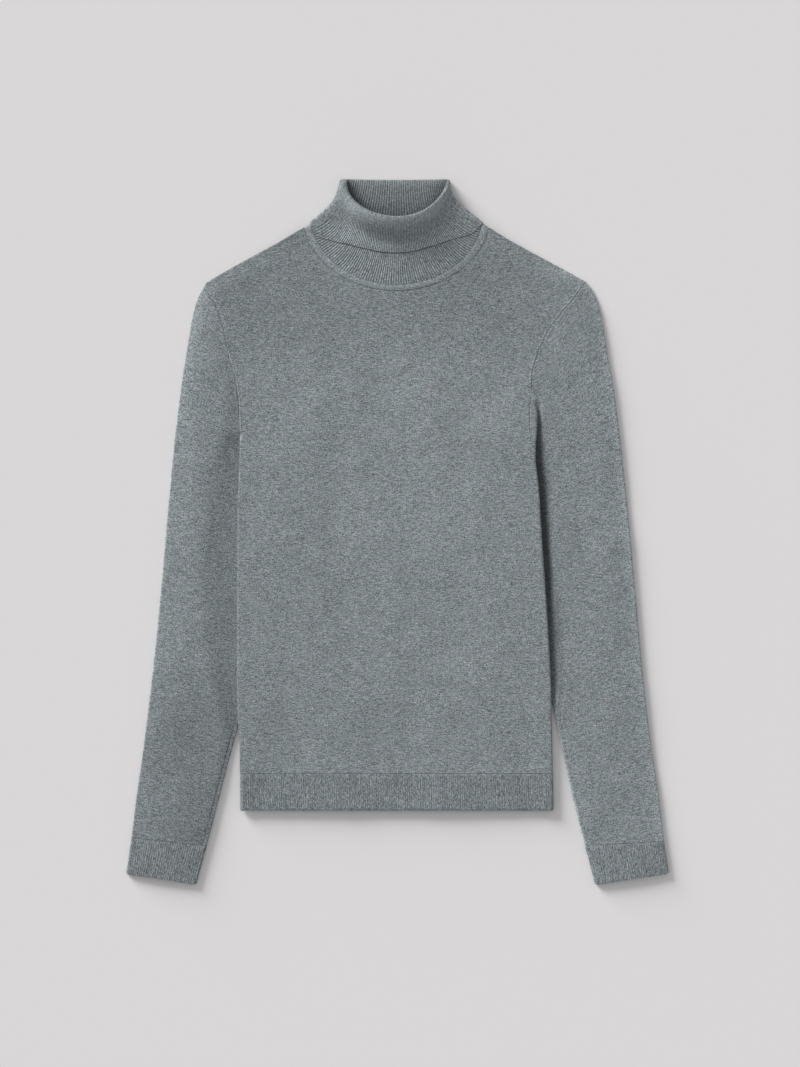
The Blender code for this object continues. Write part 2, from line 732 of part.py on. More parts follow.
def tube_ring(side, plan, top_height, pressed, inset, top_shares, bottom_shares):
    """One ring of a flattened tube at an inset into its wall, with rounded edges."""
    sign = SIDES[side]
    half = pressed / 2
    points = []

    def at(share, height):
        out, y = plan(share)
        points.append((sign * float(out), float(y), float(height)))

    width = math.dist(plan(0.0), plan(1.0))
    edge = inset / width
    lip = (TUBE_EDGE + LIP_IN_WALL * inset) / width
    at(edge, half)
    for share in top_shares:
        share = lip + (1 - 2 * lip) * share
        share = min(max(share, edge), 1 - edge)
        at(share, top_height(share) - inset)
    at(1 - edge, half)
    for share in bottom_shares[::-1]:
        share = lip + (1 - 2 * lip) * share
        share = min(max(share, edge), 1 - edge)
        at(share, inset)
    return points


# ---- Meshes


def flatter(points, a, b, c, d):
    """Whether the quad a b c d is flatter when it is split from b to d."""

    def fold(corners_1, corners_2):
        normals = []
        for p, q, r in (corners_1, corners_2):
            normals.append(np.cross(points[q] - points[p], points[r] - points[p]))
        size = np.linalg.norm(normals[0]) * np.linalg.norm(normals[1])
        return np.dot(*normals) / max(size, 1e-12)

    return fold((a, b, d), (b, c, d)) > fold((a, b, c), (a, c, d))


def strip(points, here, there, split):
    """Faces between two rows of (column, point) pairs, split at the columns both have."""
    shared = sorted({column for column, _ in here} & {column for column, _ in there})
    faces = []
    for start, stop in zip(shared[:-1], shared[1:]):
        lower = [point for column, point in here if start <= column <= stop]
        upper = [point for column, point in there if start <= column <= stop]
        if len(lower) > 2 or len(upper) > 2:
            faces.append(tuple(lower + upper[::-1]))
            continue
        a, b = lower
        d, c = upper
        turned = split == "mirrored" or (split == "flatter" and flatter(points, a, b, c, d))
        faces.extend([(a, b, d), (b, c, d)] if turned else [(a, b, c), (a, c, d)])
    return faces


def skin(outer, outer_sets, inner, inner_sets, closed, by_shape=False):
    """A wall's points and faces; each row of its two faces has its own set of columns."""
    points = []
    loops = []
    for row, columns in zip(list(outer) + list(inner)[::-1], outer_sets + inner_sets[::-1]):
        row = np.asarray(row, float)
        loop = [(column, len(points) + k) for k, column in enumerate(columns)]
        points.extend(row[list(columns)])
        if closed:
            loop.append((len(row), loop[0][1]))
        loops.append(loop)
    points = np.array(points)
    faces = []
    for k in range(len(loops)):
        split = "mirrored" if k >= len(outer) else "plain"
        split = "flatter" if by_shape else split
        faces.extend(strip(points, loops[k], loops[(k + 1) % len(loops)], split))
    return points, faces, loops


def wall(outer, inner, closed, inner_columns=None, by_shape=False):
    """Points and faces of a wall between two grids; the inner grid may have fewer columns."""
    every = list(range(len(outer[0])))
    inner_columns = inner_columns or every
    outer_sets = [every] * len(outer)
    inner_sets = [inner_columns] * len(inner)
    points, faces, loops = skin(outer, outer_sets, inner, inner_sets, closed, by_shape)
    if not closed:
        for end in (0, -1):
            top = [loop[end][1] for loop in loops[: len(outer)]]
            bottom = [loop[end][1] for loop in loops[len(outer) :]][::-1]
            for k in range(len(outer) - 1):
                faces.append((top[k], top[k + 1], bottom[k + 1], bottom[k]))
    return points, faces


def material(name, colour):
    made = bpy.data.materials.new(name)
    made.use_nodes = True
    shader = made.node_tree.nodes["Principled BSDF"]
    shader.inputs["Base Color"].default_value = (*colour, 1.0)
    shader.inputs["Roughness"].default_value = 0.95
    shader.inputs["Metallic"].default_value = 0.0
    return made


def add_object(name, points, faces, cloth):
    mesh = bpy.data.meshes.new(name)
    mesh.from_pydata([tuple(point) for point in np.asarray(points) * MM], [], faces)
    shape = bmesh.new()
    shape.from_mesh(mesh)
    bmesh.ops.recalc_face_normals(shape, faces=shape.faces)
    bmesh.ops.triangulate(shape, faces=shape.faces)
    shape.to_mesh(mesh)
    shape.free()
    mesh.shade_smooth()
    mesh.set_sharp_from_angle(angle=math.radians(50))
    made = bpy.data.objects.new(name, mesh)
    made.data.materials.append(cloth)
    bpy.context.scene.collection.objects.link(made)


# ---- Pieces


def body_shares():
    """Columns across a panel between its folds, closer together at the neck corners."""
    low, high = corner_shares()
    neck = [
        low + (high - low) * (1 - math.cos(math.pi * k / NECK_COLUMNS)) / 2
        for k in range(NECK_COLUMNS + 1)
    ]
    first = list(np.linspace(MARGIN_SHARE, low, SHOULDER_COLUMNS + 1)[:-1])
    last = list(np.linspace(high, 1 - MARGIN_SHARE, SHOULDER_COLUMNS + 1)[1:])
    across = np.array(first + neck + last)
    return (across - MARGIN_SHARE) / (1 - 2 * MARGIN_SHARE)


def body_layer(depth, is_back):
    shares = body_shares()
    rows = []
    for fall in LOWER_ROWS:
        y_right = FOLD["right"][0][0] + fall * (HEM_SEAM_Y + SEAM_GAP - FOLD["right"][0][0])
        y_left = FOLD["left"][0][0] + fall * (HEM_SEAM_Y + SEAM_GAP - FOLD["left"][0][0])
        rows.append(body_row(y_right, y_left, shares, FOLD_ARCS, FOLD_TAILS, depth, is_back))
    for up in UPPER_ROWS:
        rows.append(upper_row(up, shares, FOLD_ARCS, FOLD_TAILS, depth, is_back))
    return rows


def make_body(cloth):
    front = wall(body_layer(0.0, False), body_layer(JERSEY, False), closed=False)
    add_object("body_front", *front, cloth)
    outside = JERSEY + SEAM_GAP
    back = wall(body_layer(outside, True), body_layer(outside + JERSEY, True), closed=False)
    add_object("body_back", *back, cloth)


def hem_rows(depth, is_back, shares, ribs):
    rows = []
    for y in (HEM_SEAM_Y, HEM_END_Y):
        row = np.array(body_row(y, y, shares, FOLD_ARCS, FOLD_TAILS, depth, is_back))
        if ribs:
            row[FOLD_COLUMNS + 1 : FOLD_COLUMNS + len(shares) : 2, 2] += RIB_HEIGHT
        rows.append(row)
    return rows


def make_hem(cloth):
    shares = np.linspace(0, 1, 2 * HEM_RIBS + 1)
    fold = list(range(FOLD_COLUMNS))
    last = FOLD_COLUMNS + 2 * HEM_RIBS
    plain = fold + list(range(FOLD_COLUMNS, last + 1, HEM_INNER_STEP))
    plain += [last + 1 + column for column in fold]
    outer = hem_rows(0.0, False, shares, True)
    front = wall(outer, hem_rows(JERSEY, False, shares, False), False, plain)
    add_object("hem_front", *front, cloth)
    shares = np.linspace(0, 1, 2 * HEM_RIBS // HEM_INNER_STEP + 1)
    outside = JERSEY + SEAM_GAP
    back = wall(
        hem_rows(outside, True, shares, False),
        hem_rows(outside + JERSEY, True, shares, False),
        False,
    )
    add_object("hem_back", *back, cloth)


def sleeve_columns(side):
    """Shares across a sleeve, above and below: where the body's rows meet the armhole."""
    seen = fold_share(side)
    cap = [seen * (1 - up) for up in UPPER_ROWS[::-1]] + [seen]
    rest = [seen + (1 - seen) * share for share in (0.25, 0.5, 0.75, 1.0)]
    above = sorted(cap + rest + list(SLEEVE_EDGE_SHARES))
    return above, cap + [rest[1], rest[3]]


def sleeve_layer(side, inset):
    above, below = sleeve_columns(side)
    rings = []
    for ring_at in SLEEVE_RINGS:

        def plan(share, ring_at=ring_at):
            out, y = sleeve_plan(side, ring_at, share)
            if ring_at > -1:
                return out, y
            return out + CAP_CLEARANCE[0], y + CAP_CLEARANCE[1]

        def height(share, ring_at=ring_at):
            out, y = sleeve_plan(side, ring_at, share)
            return sleeve_height(side, out, y, share, ring_at)

        rings.append(tube_ring(side, plan, height, PRESSED, inset, above, below))
    return rings


def cuff_layer(side, inset, ribs):
    seam = np.array(SLEEVE[side][-1])
    end = np.array(CUFF_END[side])
    gap = SEAM_GAP / (seam[1] - end[1])
    shares = np.linspace(0, 1, 2 * CUFF_RIBS + 1)
    rings = []
    for down in (gap, 1.0):
        out0, y0, out1, y1 = seam + (end - seam) * down

        def plan(share, edges=(out0, y0, out1, y1)):
            a, b, c, d = edges
            return a + (c - a) * share, b + (d - b) * share

        def height(share):
            return CUFF_PRESSED + CUFF_CROWN * math.sin(math.pi * share) ** CUFF_CROWN_BEND

        points = np.array(
            tube_ring(side, plan, height, CUFF_PRESSED, inset, shares, np.linspace(0, 1, CUFF_BELOW))
        )
        if ribs:
            points[1 : 1 + len(shares) : 2, 2] += RIB_HEIGHT
        rings.append(points)
    return rings


def make_sleeves(jersey, rib):
    above = 2 * CUFF_RIBS + 1
    plain = [0] + list(range(1, above + 1, 8)) + list(range(above + 1, above + 2 + CUFF_BELOW))
    for side in SIDES:
        outer = sleeve_layer(side, 0.0)
        sleeve = wall(outer, sleeve_layer(side, JERSEY), closed=True, by_shape=True)
        add_object(f"sleeve_{side}", *sleeve, jersey)
        cuff = wall(cuff_layer(side, 0.0, True), cuff_layer(side, RIB, False), True, plain)
        add_object(f"cuff_{side}", *cuff, rib)


def neck_columns():
    """Angles round the neck, and whether a rib stands there: the front, then the back."""
    fine = np.linspace(CORNER_ANGLES[-1], math.pi - CORNER_ANGLES[-1], 2001)
    x, y = seam_ring(fine)
    length = np.concatenate([[0.0], np.cumsum(np.hypot(np.diff(x), np.diff(y)))])
    ribbed = np.interp(np.linspace(0, length[-1], 2 * COLLAR_FRONT_RIBS + 1), length, fine)
    corner = np.array(CORNER_ANGLES[:-1])
    side = math.pi / 2 * (1 - np.cos(np.linspace(0, math.pi, COLLAR_BACK_COLUMNS + 1)))
    back = math.pi + side[1:-1]
    phi = np.concatenate([corner, ribbed, math.pi - corner[::-1], back])
    rib = np.zeros(len(phi))
    rib[len(corner) + 1 : len(corner) + len(ribbed) : 2] = RIB_HEIGHT
    return phi, rib


def collar_rows(side_sign, ribs_below, ribs_above):
    """Rows of one face of the collar's wall, from the seam, over the fold, to its edge."""
    phi, rib = neck_columns()
    edge = edge_share(phi)
    half = RIB_MIDDLE * side_sign
    rows = []
    for share in COLLAR_STAND:
        at = edge * share
        normal, _ = stand_frame(phi, at)
        relief = rib if ribs_below else 0 * rib
        rows.append(stand_point(phi, at) + normal * (half + side_sign * relief)[:, None])
    for share in COLLAR_COVERED:
        at = edge + (1 - edge) * share
        normal, _ = stand_frame(phi, at)
        rows.append(stand_point(phi, at) + normal * half)
    roll = TURN_DOWN_OFFSET + (FOLD_ROLL - TURN_DOWN_OFFSET) * np.maximum(np.sin(phi), 0)
    normal, upward = stand_frame(phi, 1.0)
    centre = stand_point(phi, 1.0) + normal * roll[:, None] / 2
    relief = rib if ribs_above else 0 * rib
    rows.append(centre + upward * (roll / 2 - half + relief)[:, None])
    for share in COLLAR_TURN_DOWN:
        at = 1 - (1 - edge) * share
        normal, _ = stand_frame(phi, at)
        offset = roll + (TURN_DOWN_OFFSET - roll) * smooth(0, TURN_DOWN_SETTLES, share)
        relief = rib if ribs_above else 0 * rib
        rows.append(stand_point(phi, at) + normal * (offset - half + relief)[:, None])
    return rows


def make_collar(cloth):
    """A ring whose section is the folded wall."""
    phi, _ = neck_columns()
    plain = [
        k for k in range(len(phi)) if k % PLAIN_STEP == 0 or abs(math.sin(phi[k])) < CORNER_COLUMNS
    ]
    every = list(range(len(phi)))
    facing_out = collar_rows(1.0, ribs_below=True, ribs_above=False)
    facing_in = collar_rows(-1.0, ribs_below=False, ribs_above=True)
    below = len(COLLAR_STAND)
    above = 1 + len(COLLAR_TURN_DOWN)
    out_sets = [every] * below + [plain] * (len(facing_out) - below)
    in_sets = [plain] * (len(facing_in) - above) + [every] * above
    points, faces, _ = skin(facing_out, out_sets, facing_in, in_sets, closed=True)
    add_object("collar", points, faces, cloth)


def make_neck_band(cloth):
    half_steps = np.arange(0, 8 * NECK_COLUMNS) * math.pi / (4 * NECK_COLUMNS)
    phi = np.array(
        [at for k, at in enumerate(half_steps) if k % 2 == 0 or abs(math.sin(at)) < CORNER_COLUMNS]
    )
    faces_of_wall = []
    for side_sign in (1.0, -1.0):
        rows = []
        for share in (BAND_START, BAND_END):
            normal, _ = stand_frame(phi, share)
            rows.append(stand_point(phi, share) + normal * RIB_MIDDLE * side_sign)
        faces_of_wall.append(rows)
    add_object("neck_band", *wall(*faces_of_wall, closed=True), cloth)


def clear_scene():
    for found in list(bpy.data.objects):
        bpy.data.objects.remove(found, do_unlink=True)


def main():
    clear_scene()
    jersey = material("grey_melange_jersey", (0.205, 0.235, 0.245))
    rib = material("grey_melange_rib", (0.185, 0.212, 0.222))
    make_body(jersey)
    make_hem(rib)
    make_sleeves(jersey, rib)
    make_collar(rib)
    make_neck_band(rib)


main()
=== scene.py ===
"""The looks of a fine-gauge turtleneck sweater that lies flat on a pale surface.

Sizes are millimetres here and metres in Blender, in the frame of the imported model: X across,
Y from the hem to the collar, Z up. "out" is a distance from x = 0 towards the side named, and
the wearer's right is at -X. The tables and the height functions are those of the part's source.
Here they make finer walls, with rounded ribs, linked seams, soft folds and a knitted surface.
A pair of values named as a range is given to smooth(): 0 at its first value, 1 at its second.
"""

import math
from functools import partial

import bpy
import numpy as np
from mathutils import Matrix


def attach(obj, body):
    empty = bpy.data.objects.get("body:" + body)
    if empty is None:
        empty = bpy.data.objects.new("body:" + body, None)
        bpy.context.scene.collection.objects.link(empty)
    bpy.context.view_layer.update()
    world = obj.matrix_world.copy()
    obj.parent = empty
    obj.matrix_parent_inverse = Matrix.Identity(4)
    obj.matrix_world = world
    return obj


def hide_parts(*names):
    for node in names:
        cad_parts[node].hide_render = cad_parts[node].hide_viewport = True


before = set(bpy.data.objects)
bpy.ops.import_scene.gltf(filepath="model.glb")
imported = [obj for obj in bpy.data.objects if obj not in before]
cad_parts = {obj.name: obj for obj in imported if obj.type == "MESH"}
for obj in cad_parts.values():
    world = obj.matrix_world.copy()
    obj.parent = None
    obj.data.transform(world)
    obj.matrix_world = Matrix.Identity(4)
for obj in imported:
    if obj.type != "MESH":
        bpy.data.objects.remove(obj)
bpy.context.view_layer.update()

MM = 0.001
SIDES = {"right": -1.0, "left": 1.0}

# Cloth
JERSEY = 1.0
RIB = 1.3
RIB_HEIGHT = 0.35
SEAM_GAP = 0.3
PRESSED = 2 * JERSEY + SEAM_GAP
LAYER = PRESSED + SEAM_GAP
CROWN = 3.3
SOFT_EDGE = 20.0
TUBE_EDGE = 1.5
INNER_LIP = 0.6

# Body
HEM_SEAM_Y = -285.0
HEM_END_Y = -329.0
BODY_MIDDLE_X = -3.0
BODY_HALF_WIDTH = 182.0
WIDEST_SHARE = 1.1
UNDER_SLEEVE_HEIGHT = 7.6
BARE_EDGE_HEIGHT = 5.9
EDGE_HEIGHT_Y = (-290, -180)
EDGE_RISE_Y = (170, 90)
BELLY = 1.0
BELLY_Y = (200, 110)
BELLY_X = (175, 110)
LYING_Y = (235, 205)
LYING_GAP = 0.05
CURL_LENGTH = 22.0
FLAT_MARGIN = 10.0
MARGIN_SHARE = 0.03
FOLD_CRISP = 0.6
ARC_PART = 0.6
CURL_OPEN = 0.3
CURL_FLAT_BELOW = 0.05
CURL_LIES_ABOVE = 3.0
TUCK_FROM = (0.6, 1)
EDGE_INSIDE = 4.0
SLEEVE_RAMP_ACROSS = (-60.0, -6.0)
SLEEVE_RAMP_ALONG = (-90.0, -6.0)
TUCK_RAMP = (-80.0, -6.0)
SLEEVE_SPARE = 8.0
TUCK_SPARE = 14.0
TUCK_STARTS = 45.0
ARMHOLE_LIFT = 45.0
ARMHOLE_NEAR = (25, 4)

# The armhole seam from the shoulder point to where the body's fold starts: out, y
ARMHOLE = {
    "right": (
        (228.9, 287), (214.6, 266.5), (205.9, 242.1), (198.4, 205.5), (190.6, 179.1),
        (187, 151.9), (185.9, 120),
    ),
    "left": (
        (222.4, 294.7), (205.9, 271.9), (193.8, 258.4), (177.5, 236.6), (166.6, 213.6),
        (158.6, 188), (158.4, 172), (165, 156),
    ),
}
# The folded body edge, from the armhole to the hem: y, out, width of the side folded under
FOLD = {
    "right": (
        (120, 185.9, 4), (98, 186.4, 34), (70, 187.3, 61), (37, 188.9, 61),
        (-33, 189.6, 61), (-195, 189.6, 61), (-258, 186.1, 60), (-329, 185.6, 52),
    ),
    "left": (
        (156, 165, 4), (134, 165, 26), (90, 162.9, 76), (52.8, 166.7, 74),
        (-10.9, 170.7, 70), (-84.1, 175.8, 65), (-185.6, 181.2, 60),
        (-254, 182.5, 58), (-329, 184.2, 52),
    ),
}
# The shoulder seam, from the shoulder point towards the neck: out, y
SHOULDER = {
    "right": ((228.9, 287), (225.7, 293.1), (220.9, 296.3), (208.9, 303.6), (126.9, 349)),
    "left": ((222.4, 294.7), (201.2, 306.5), (123.3, 349)),
}
# The outer edge of the sleeve's cap, from the shoulder point down: out, y
CAP_EDGE = {
    "right": (
        (228.9, 287), (232.4, 282.2), (237.8, 268.5), (242.5, 249.9), (247.2, 221.6),
        (251.9, 193.2), (256.7, 160), (263.1, 107.1),
    ),
    "left": (
        (222.4, 294.7), (227.4, 288.4), (233.4, 277.1), (238.6, 262.1), (242.4, 243.3),
        (249.1, 201.8), (257, 154), (262.9, 107.1),
    ),
}
# The sleeve's two edges, from the upper arm to the cuff: outer out, outer y, inner out, inner y
SLEEVE = {
    "right": (
        (263.1, 107.1, 128, 90.6), (270.2, 31.6, 140.4, 17.4), (276.9, -45.1, 155.2, -58.1),
        (284.7, -127.7, 171.1, -140.7), (294.4, -212.7, 187.1, -224.5),
        (300.8, -263.4, 200, -274.1), (308, -313, 213, -324.8),
        (313.9, -360.8, 224.8, -370.2),
    ),
    "left": (
        (262.9, 107.1, 111.5, 90.6), (271, 31.6, 129.2, 17.4), (278.2, -45.1, 147.5, -58.1),
        (285.6, -127.7, 167.6, -140.7), (294.2, -212.7, 186.4, -219.8),
        (300.9, -263.4, 196.2, -265.8), (308.3, -313, 207.4, -316.5),
        (314.2, -364.9, 220.9, -369.6),
    ),
}
# The cuff's open end: outer out, outer y, inner out, inner y
CUFF_END = {
    "right": (320.4, -403.6, 237.4, -416.4),
    "left": (320.1, -403.2, 233.1, -416.5),
}
RIM = 0.6
RIM_RAMP = {"right": (-0.8, 0), "left": (-1, -0.6)}
FOLD_ACROSS = {"right": 0.56, "left": 0.62}
UNDERARM_RISE = 11.4
SLEEVE_DIP = (0, -20)
FREE_BELOW_Y = (HEM_END_Y, HEM_END_Y - 25)
CUFF_BLEND = (0.93, 1)
CUFF_PRESSED = 2 * RIB + SEAM_GAP
CUFF_CROWN = 3.3
CUFF_CROWN_ROUND = 0.7
SPREAD_ENDS = (0, 0.4)

# The trough in a sleeve along the body's edge: y, flat width, width over which it rises
TROUGH = {
    "right": (
        (150, 0, 16), (60, 1, 34), (-60, 2, 44), (-140, 2, 40),
        (-220, 0, 24),
    ),
    "left": (
        (156, 0.5, 3), (145, 0.5, 5), (118, 1.5, 9), (87, 5, 9),
        (55, 5, 10), (-39, 5, 8), (-86, 2.5, 10), (-133, 2, 12),
        (-180, 1, 10), (-200, 0, 6),
    ),
}
# Painted shade in the hollow beside the body's edge: y, darkest, its width, width that it fades
# over
HOLLOW = {
    "right": (
        (245, 1, 4, 8), (205, 0.9, 6, 12), (150, 0.8, 9, 14),
        (110, 0.84, 14, 16), (40, 0.88, 18, 24), (-100, 0.88, 20, 30),
        (-180, 0.93, 16, 24), (-230, 1, 8, 16),
    ),
    "left": (
        (172, 1, 0, 4), (158, 1, 0.3, 4), (145, 0.84, 0.5, 5),
        (130, 0.56, 1, 7), (116, 0.36, 1.5, 9), (87, 0.24, 5.5, 10),
        (55, 0.25, 5.5, 10.5), (-39, 0.26, 5.5, 9), (-86, 0.3, 3, 12.5),
        (-133, 0.42, 2.8, 16), (-180, 0.58, 2, 16), (-215, 1, 0, 5),
    ),
}

# Painted light along the sleeves' outer and inner edges, whose rounding turns from the light, and a
# darker tone towards the cuffs; both multiply the yarn's colour
# Painted light, how far inside the edge, width
EDGE_PAINTED_LIGHT = {"right": (0.1, 20, 12), "left": (0.38, 0, 8)}
INNER_TONE = 0.35
INNER_TONE_WIDTH = 2.6
LOW_TONE = {"right": -0.18, "left": 0.0}
LOW_TONE_Y = (-120, -260)
# Painted shade along the cap's seam on the wearer's right, as in the seam's groove
CAP_SEAM_PAINTED_SHADE = {"right": 0.3, "left": 0.0}
CAP_LINE_WIDTH = 1.2
# How the painted shade in the hollow fades
HOLLOW_FADE = 1.2
CAP_LINE_Y = (225, 250)

# Neck and collar. The rings: half width, middle x, y at the sides, drops in front and behind
SEAM_RING = (100.9, -1.4, 363.4, 72.2, 24.4)
SEAM_BEND = 1.03
FOLD_RING = (59.6, -0.6, 414.6, 46, 1.2)
FOLD_BEND = (0.73, 1.07)
CORNER_ROUND = 0.15
SQUARE_START = (0, 0.35)
SIDE_HOLLOW = (7.4, 8.6)
HIGH_HOLLOW = 3.0
HOLLOW_PEAK = 27 / 4
CORNER_DROP = 0.06
CORNER_RISE = 1.2
SEAM_FRONT_HEIGHT = 7.2
FOLD_FRONT_HEIGHT = 25.0
STEADY_CLIMB = 0.2
LATE_CLIMB = (0.62, 1)
FOLD_CORNER_OPEN = 3.0
SEAM_CORNER_OPEN = 1.6
CORNER_TURN = 0.09
RIB_MIDDLE = RIB / 2
TURN_DOWN_OFFSET = RIB + RIB_HEIGHT + 0.45
FOLD_ROLL = 3.6
ROLL_AT_SIDES = (6.6, 3.4)
ROLL_RISE = 1.8
TURN_DOWN_LIES = 1.5
TURN_DOWN_EDGE = (1.25, 0.4)
EDGE_AT_BACK = 0.2
EDGE_BACK_RANGE = (0.1, 0.6)
LEAST_EDGE = 0.02
LIES_AT_BACK = (0, 0.5)
# How far up the stand the turn-down's edge lies, round the front: angle, share
EDGE_SHARE = (
    (0, -0.01), (0.25, 0.005), (0.5, 0.19), (0.8, 0.37), (1.15, 0.46), (1.57, 0.49),
    (1.99, 0.47), (2.34, 0.38), (2.64, 0.24), (2.89, 0.06), (3.1416, -0.01),
)
BAND_START = -0.0915
BAND_END = -0.002
NECKLINE = -0.094
CORNER_CLEARANCE = 1.2
NECK_PULL = 42.0
NECK_NEAR = 6.0
NECK_FAR = 60.0
NECK_FAR_WEIGHT = 1e-12
NECK_STEPS = 121

# Soft undulations of the cloth: wavelength, height
SWELLS = ((150, 0.22), (95, 0.16), (60, 0.1), (38, 0.06))
SWELL_SEED = 7
SWELL_WAVES = 5
SWELL_SPREAD = (0.8, 1.25)

# Colours, as linear RGB
YARN_DARK = (0.066, 0.077, 0.084)
YARN_LIGHT = (0.464, 0.517, 0.529)
FLOOR_COLOUR = (0.787, 0.77, 0.77)


# ---- Curves and heights, as in the part's source


def smooth(low, high, value):
    """0 below low, 1 above high, and an S between them; low may be above high."""
    t = np.clip((np.asarray(value, float) - low) / (high - low), 0.0, 1.0)
    return t * t * (3.0 - 2.0 * t)


def mix(first, second, share):
    """The first value at share 0, the second at share 1."""
    return first + (second - first) * share


def bell(value, width, centre=0.0):
    """1 at the centre, falling softly to 0 on both sides."""
    return np.exp(-(((value - centre) / width) ** 2))


def soft_edge(away):
    """0 on an edge, rising to 1 with a rounded shoulder."""
    return smooth(0, 1, np.sqrt(np.clip(away / SOFT_EDGE, 0, 1)))


def through(at, knots, values):
    """A smooth curve through (knots, values) that never overshoots them; knots rise."""
    knots = np.asarray(knots, float)
    values = np.asarray(values, float)
    step = np.diff(knots)
    slope = np.diff(values) / step
    product = slope[:-1] * slope[1:]
    total = slope[:-1] + slope[1:]
    inner = np.where(product > 0, 2 * product / np.where(total == 0, 1, total), 0)
    tangent = np.concatenate([[slope[0]], inner, [slope[-1]]])
    at = np.clip(np.asarray(at, float), knots[0], knots[-1])
    i = np.clip(np.searchsorted(knots, at) - 1, 0, len(step) - 1)
    t = (at - knots[i]) / step[i]
    rise = tangent[i] * step[i] * (t**3 - 2 * t**2 + t)
    rise += tangent[i + 1] * step[i] * (t**3 - t**2)
    return values[i] + (values[i + 1] - values[i]) * (3 * t**2 - 2 * t**3) + rise


def along(share, points):
    """The points, as x and y, at shares of the length of a smooth curve through points."""
    points = np.asarray(points, float)
    lengths = np.hypot(*np.diff(points, axis=0).T)
    at = np.concatenate([[0.0], np.cumsum(lengths)]) / lengths.sum()
    return np.array([through(share, at, column) for column in points.T])


def rising(table, column, at):
    """One column of a table whose first column falls, read at a value of that first column."""
    rows = np.asarray(table, float)[::-1]
    return through(at, rows[:, 0], rows[:, column])


def distance_to(x, y, line):
    """The distance from each point to a line of joined points."""
    nearest = np.full(np.shape(x), np.inf)
    for (x0, y0), (x1, y1) in zip(line[:-1], line[1:]):
        span = (x1 - x0) ** 2 + (y1 - y0) ** 2
        t = np.clip(((x - x0) * (x1 - x0) + (y - y0) * (y1 - y0)) / max(span, 1e-9), 0, 1)
        away = np.hypot(x - x0 - t * (x1 - x0), y - y0 - t * (y1 - y0))
        nearest = np.minimum(nearest, away)
    return nearest


def softly_above(value, floor, blend=1.2):
    """value, kept a little above floor with no crease."""
    return 0.5 * (value + floor + np.sqrt((value - floor) ** 2 + blend**2))


def placed(side, line):
    """A side's line of out and y, as x and y."""
    return [(SIDES[side] * out, y) for out, y in line]


def make_swells():
    """Waves for the cloth's undulations: length, height, direction and phase of each."""
    draw = np.random.default_rng(SWELL_SEED)
    waves = []
    for length, height in SWELLS:
        for _ in range(SWELL_WAVES):
            angle, phase = draw.uniform(0, 2 * math.pi, 2)
            waves.append((length * draw.uniform(*SWELL_SPREAD), height, angle, phase))
    return waves


WAVES = make_swells()


def swell(x, y):
    """The cloth's undulation at a place, in millimetres."""
    total = 0.0
    for length, height, angle, phase in WAVES:
        turn = 2 * math.pi / length
        total = total + height * np.sin(turn * (x * math.cos(angle) + y * math.sin(angle)) + phase)
    return total


# ---- Neck


def front_back(phi):
    """How far to the front and to the back a place round the neck lies, 0 to 1 each."""
    return np.maximum(np.sin(phi), 0.0), np.maximum(-np.sin(phi), 0.0)


def toward_left(phi):
    """0 at the wearer's right, 1 at the left."""
    return (1.0 - np.cos(phi)) / 2


def rounded(value):
    """0 to 1 like the value, but starting softly."""
    whole = math.hypot(1.0, CORNER_ROUND) - CORNER_ROUND
    return (np.hypot(value, CORNER_ROUND) - CORNER_ROUND) / whole


def ring(phi, shape, bend):
    """A loop around the neck: phi 0 at the wearer's right, pi/2 in front, pi at the left."""
    half_width, middle_x, side_y, front_drop, back_drop = shape
    front, back = front_back(phi)
    y = side_y - front_drop * rounded(front) ** bend - back_drop * rounded(back)
    return np.array([middle_x - half_width * np.cos(phi), y])


def seam_ring(phi):
    return ring(phi, SEAM_RING, SEAM_BEND)


def fold_ring(phi):
    return ring(phi, FOLD_RING, mix(*FOLD_BEND, toward_left(phi)))


def edge_share(phi):
    """How far up the stand the turn-down's edge lies."""
    phi = np.mod(phi, 2 * math.pi)
    in_front = through(np.minimum(phi, math.pi), *np.transpose(EDGE_SHARE))
    return in_front + EDGE_AT_BACK * smooth(*EDGE_BACK_RANGE, front_back(phi)[1])


def corner_open(share):
    return mix(SEAM_CORNER_OPEN, FOLD_CORNER_OPEN, np.clip(share, 0, 1))


def corner_turn(phi):
    """-1 on the collar's back, 1 on its front, and a quick turn at the corners."""
    return np.tanh(np.sin(phi) / CORNER_TURN)


def stand_height(phi, share):
    """Height of the middle of the collar's wall."""
    front, back = front_back(phi)
    edge = np.maximum(edge_share(phi), LEAST_EDGE)
    lift = np.maximum(1 - smooth(*LIES_AT_BACK, back), smooth(0, edge, share))
    under = RIB_MIDDLE + TURN_DOWN_OFFSET * lift
    opened = corner_open(share)
    climb = mix(smooth(*LATE_CLIMB, share), share, STEADY_CLIMB)
    top = mix(SEAM_FRONT_HEIGHT, FOLD_FRONT_HEIGHT, climb)
    return under + opened * (1 + corner_turn(phi)) + (top - under - 2 * opened) * front


def stand_point(phi, share):
    """The middle of the collar's wall, from its seam (share 0) to its fold (share 1)."""
    phi, share = np.broadcast_arrays(np.asarray(phi, float), np.asarray(share, float))
    seam = seam_ring(phi)
    rise = fold_ring(phi) - seam
    across = seam_ring(phi + 1e-3) - seam
    size = np.hypot(*rise) / np.maximum(np.hypot(*across), 1e-6)
    square = smooth(*SQUARE_START, front_back(phi)[0])
    start = square * np.array([-across[1], across[0]]) * size + (1 - square) * rise
    h_start = share**3 - 2 * share**2 + share
    h_end = share**3 - share**2
    h_rise = 3 * share**2 - 2 * share**3
    x, y = seam + h_rise * rise + h_start * start + h_end * rise
    hollow = mix(*SIDE_HOLLOW, toward_left(phi)) * 4 * share * (1 - share)
    inside = np.clip(share, 0, 1)
    high = HIGH_HOLLOW * toward_left(phi) * HOLLOW_PEAK * inside**2 * (1 - inside)
    return np.stack([x + (hollow + high) * np.cos(phi), y, stand_height(phi, share)], axis=-1)


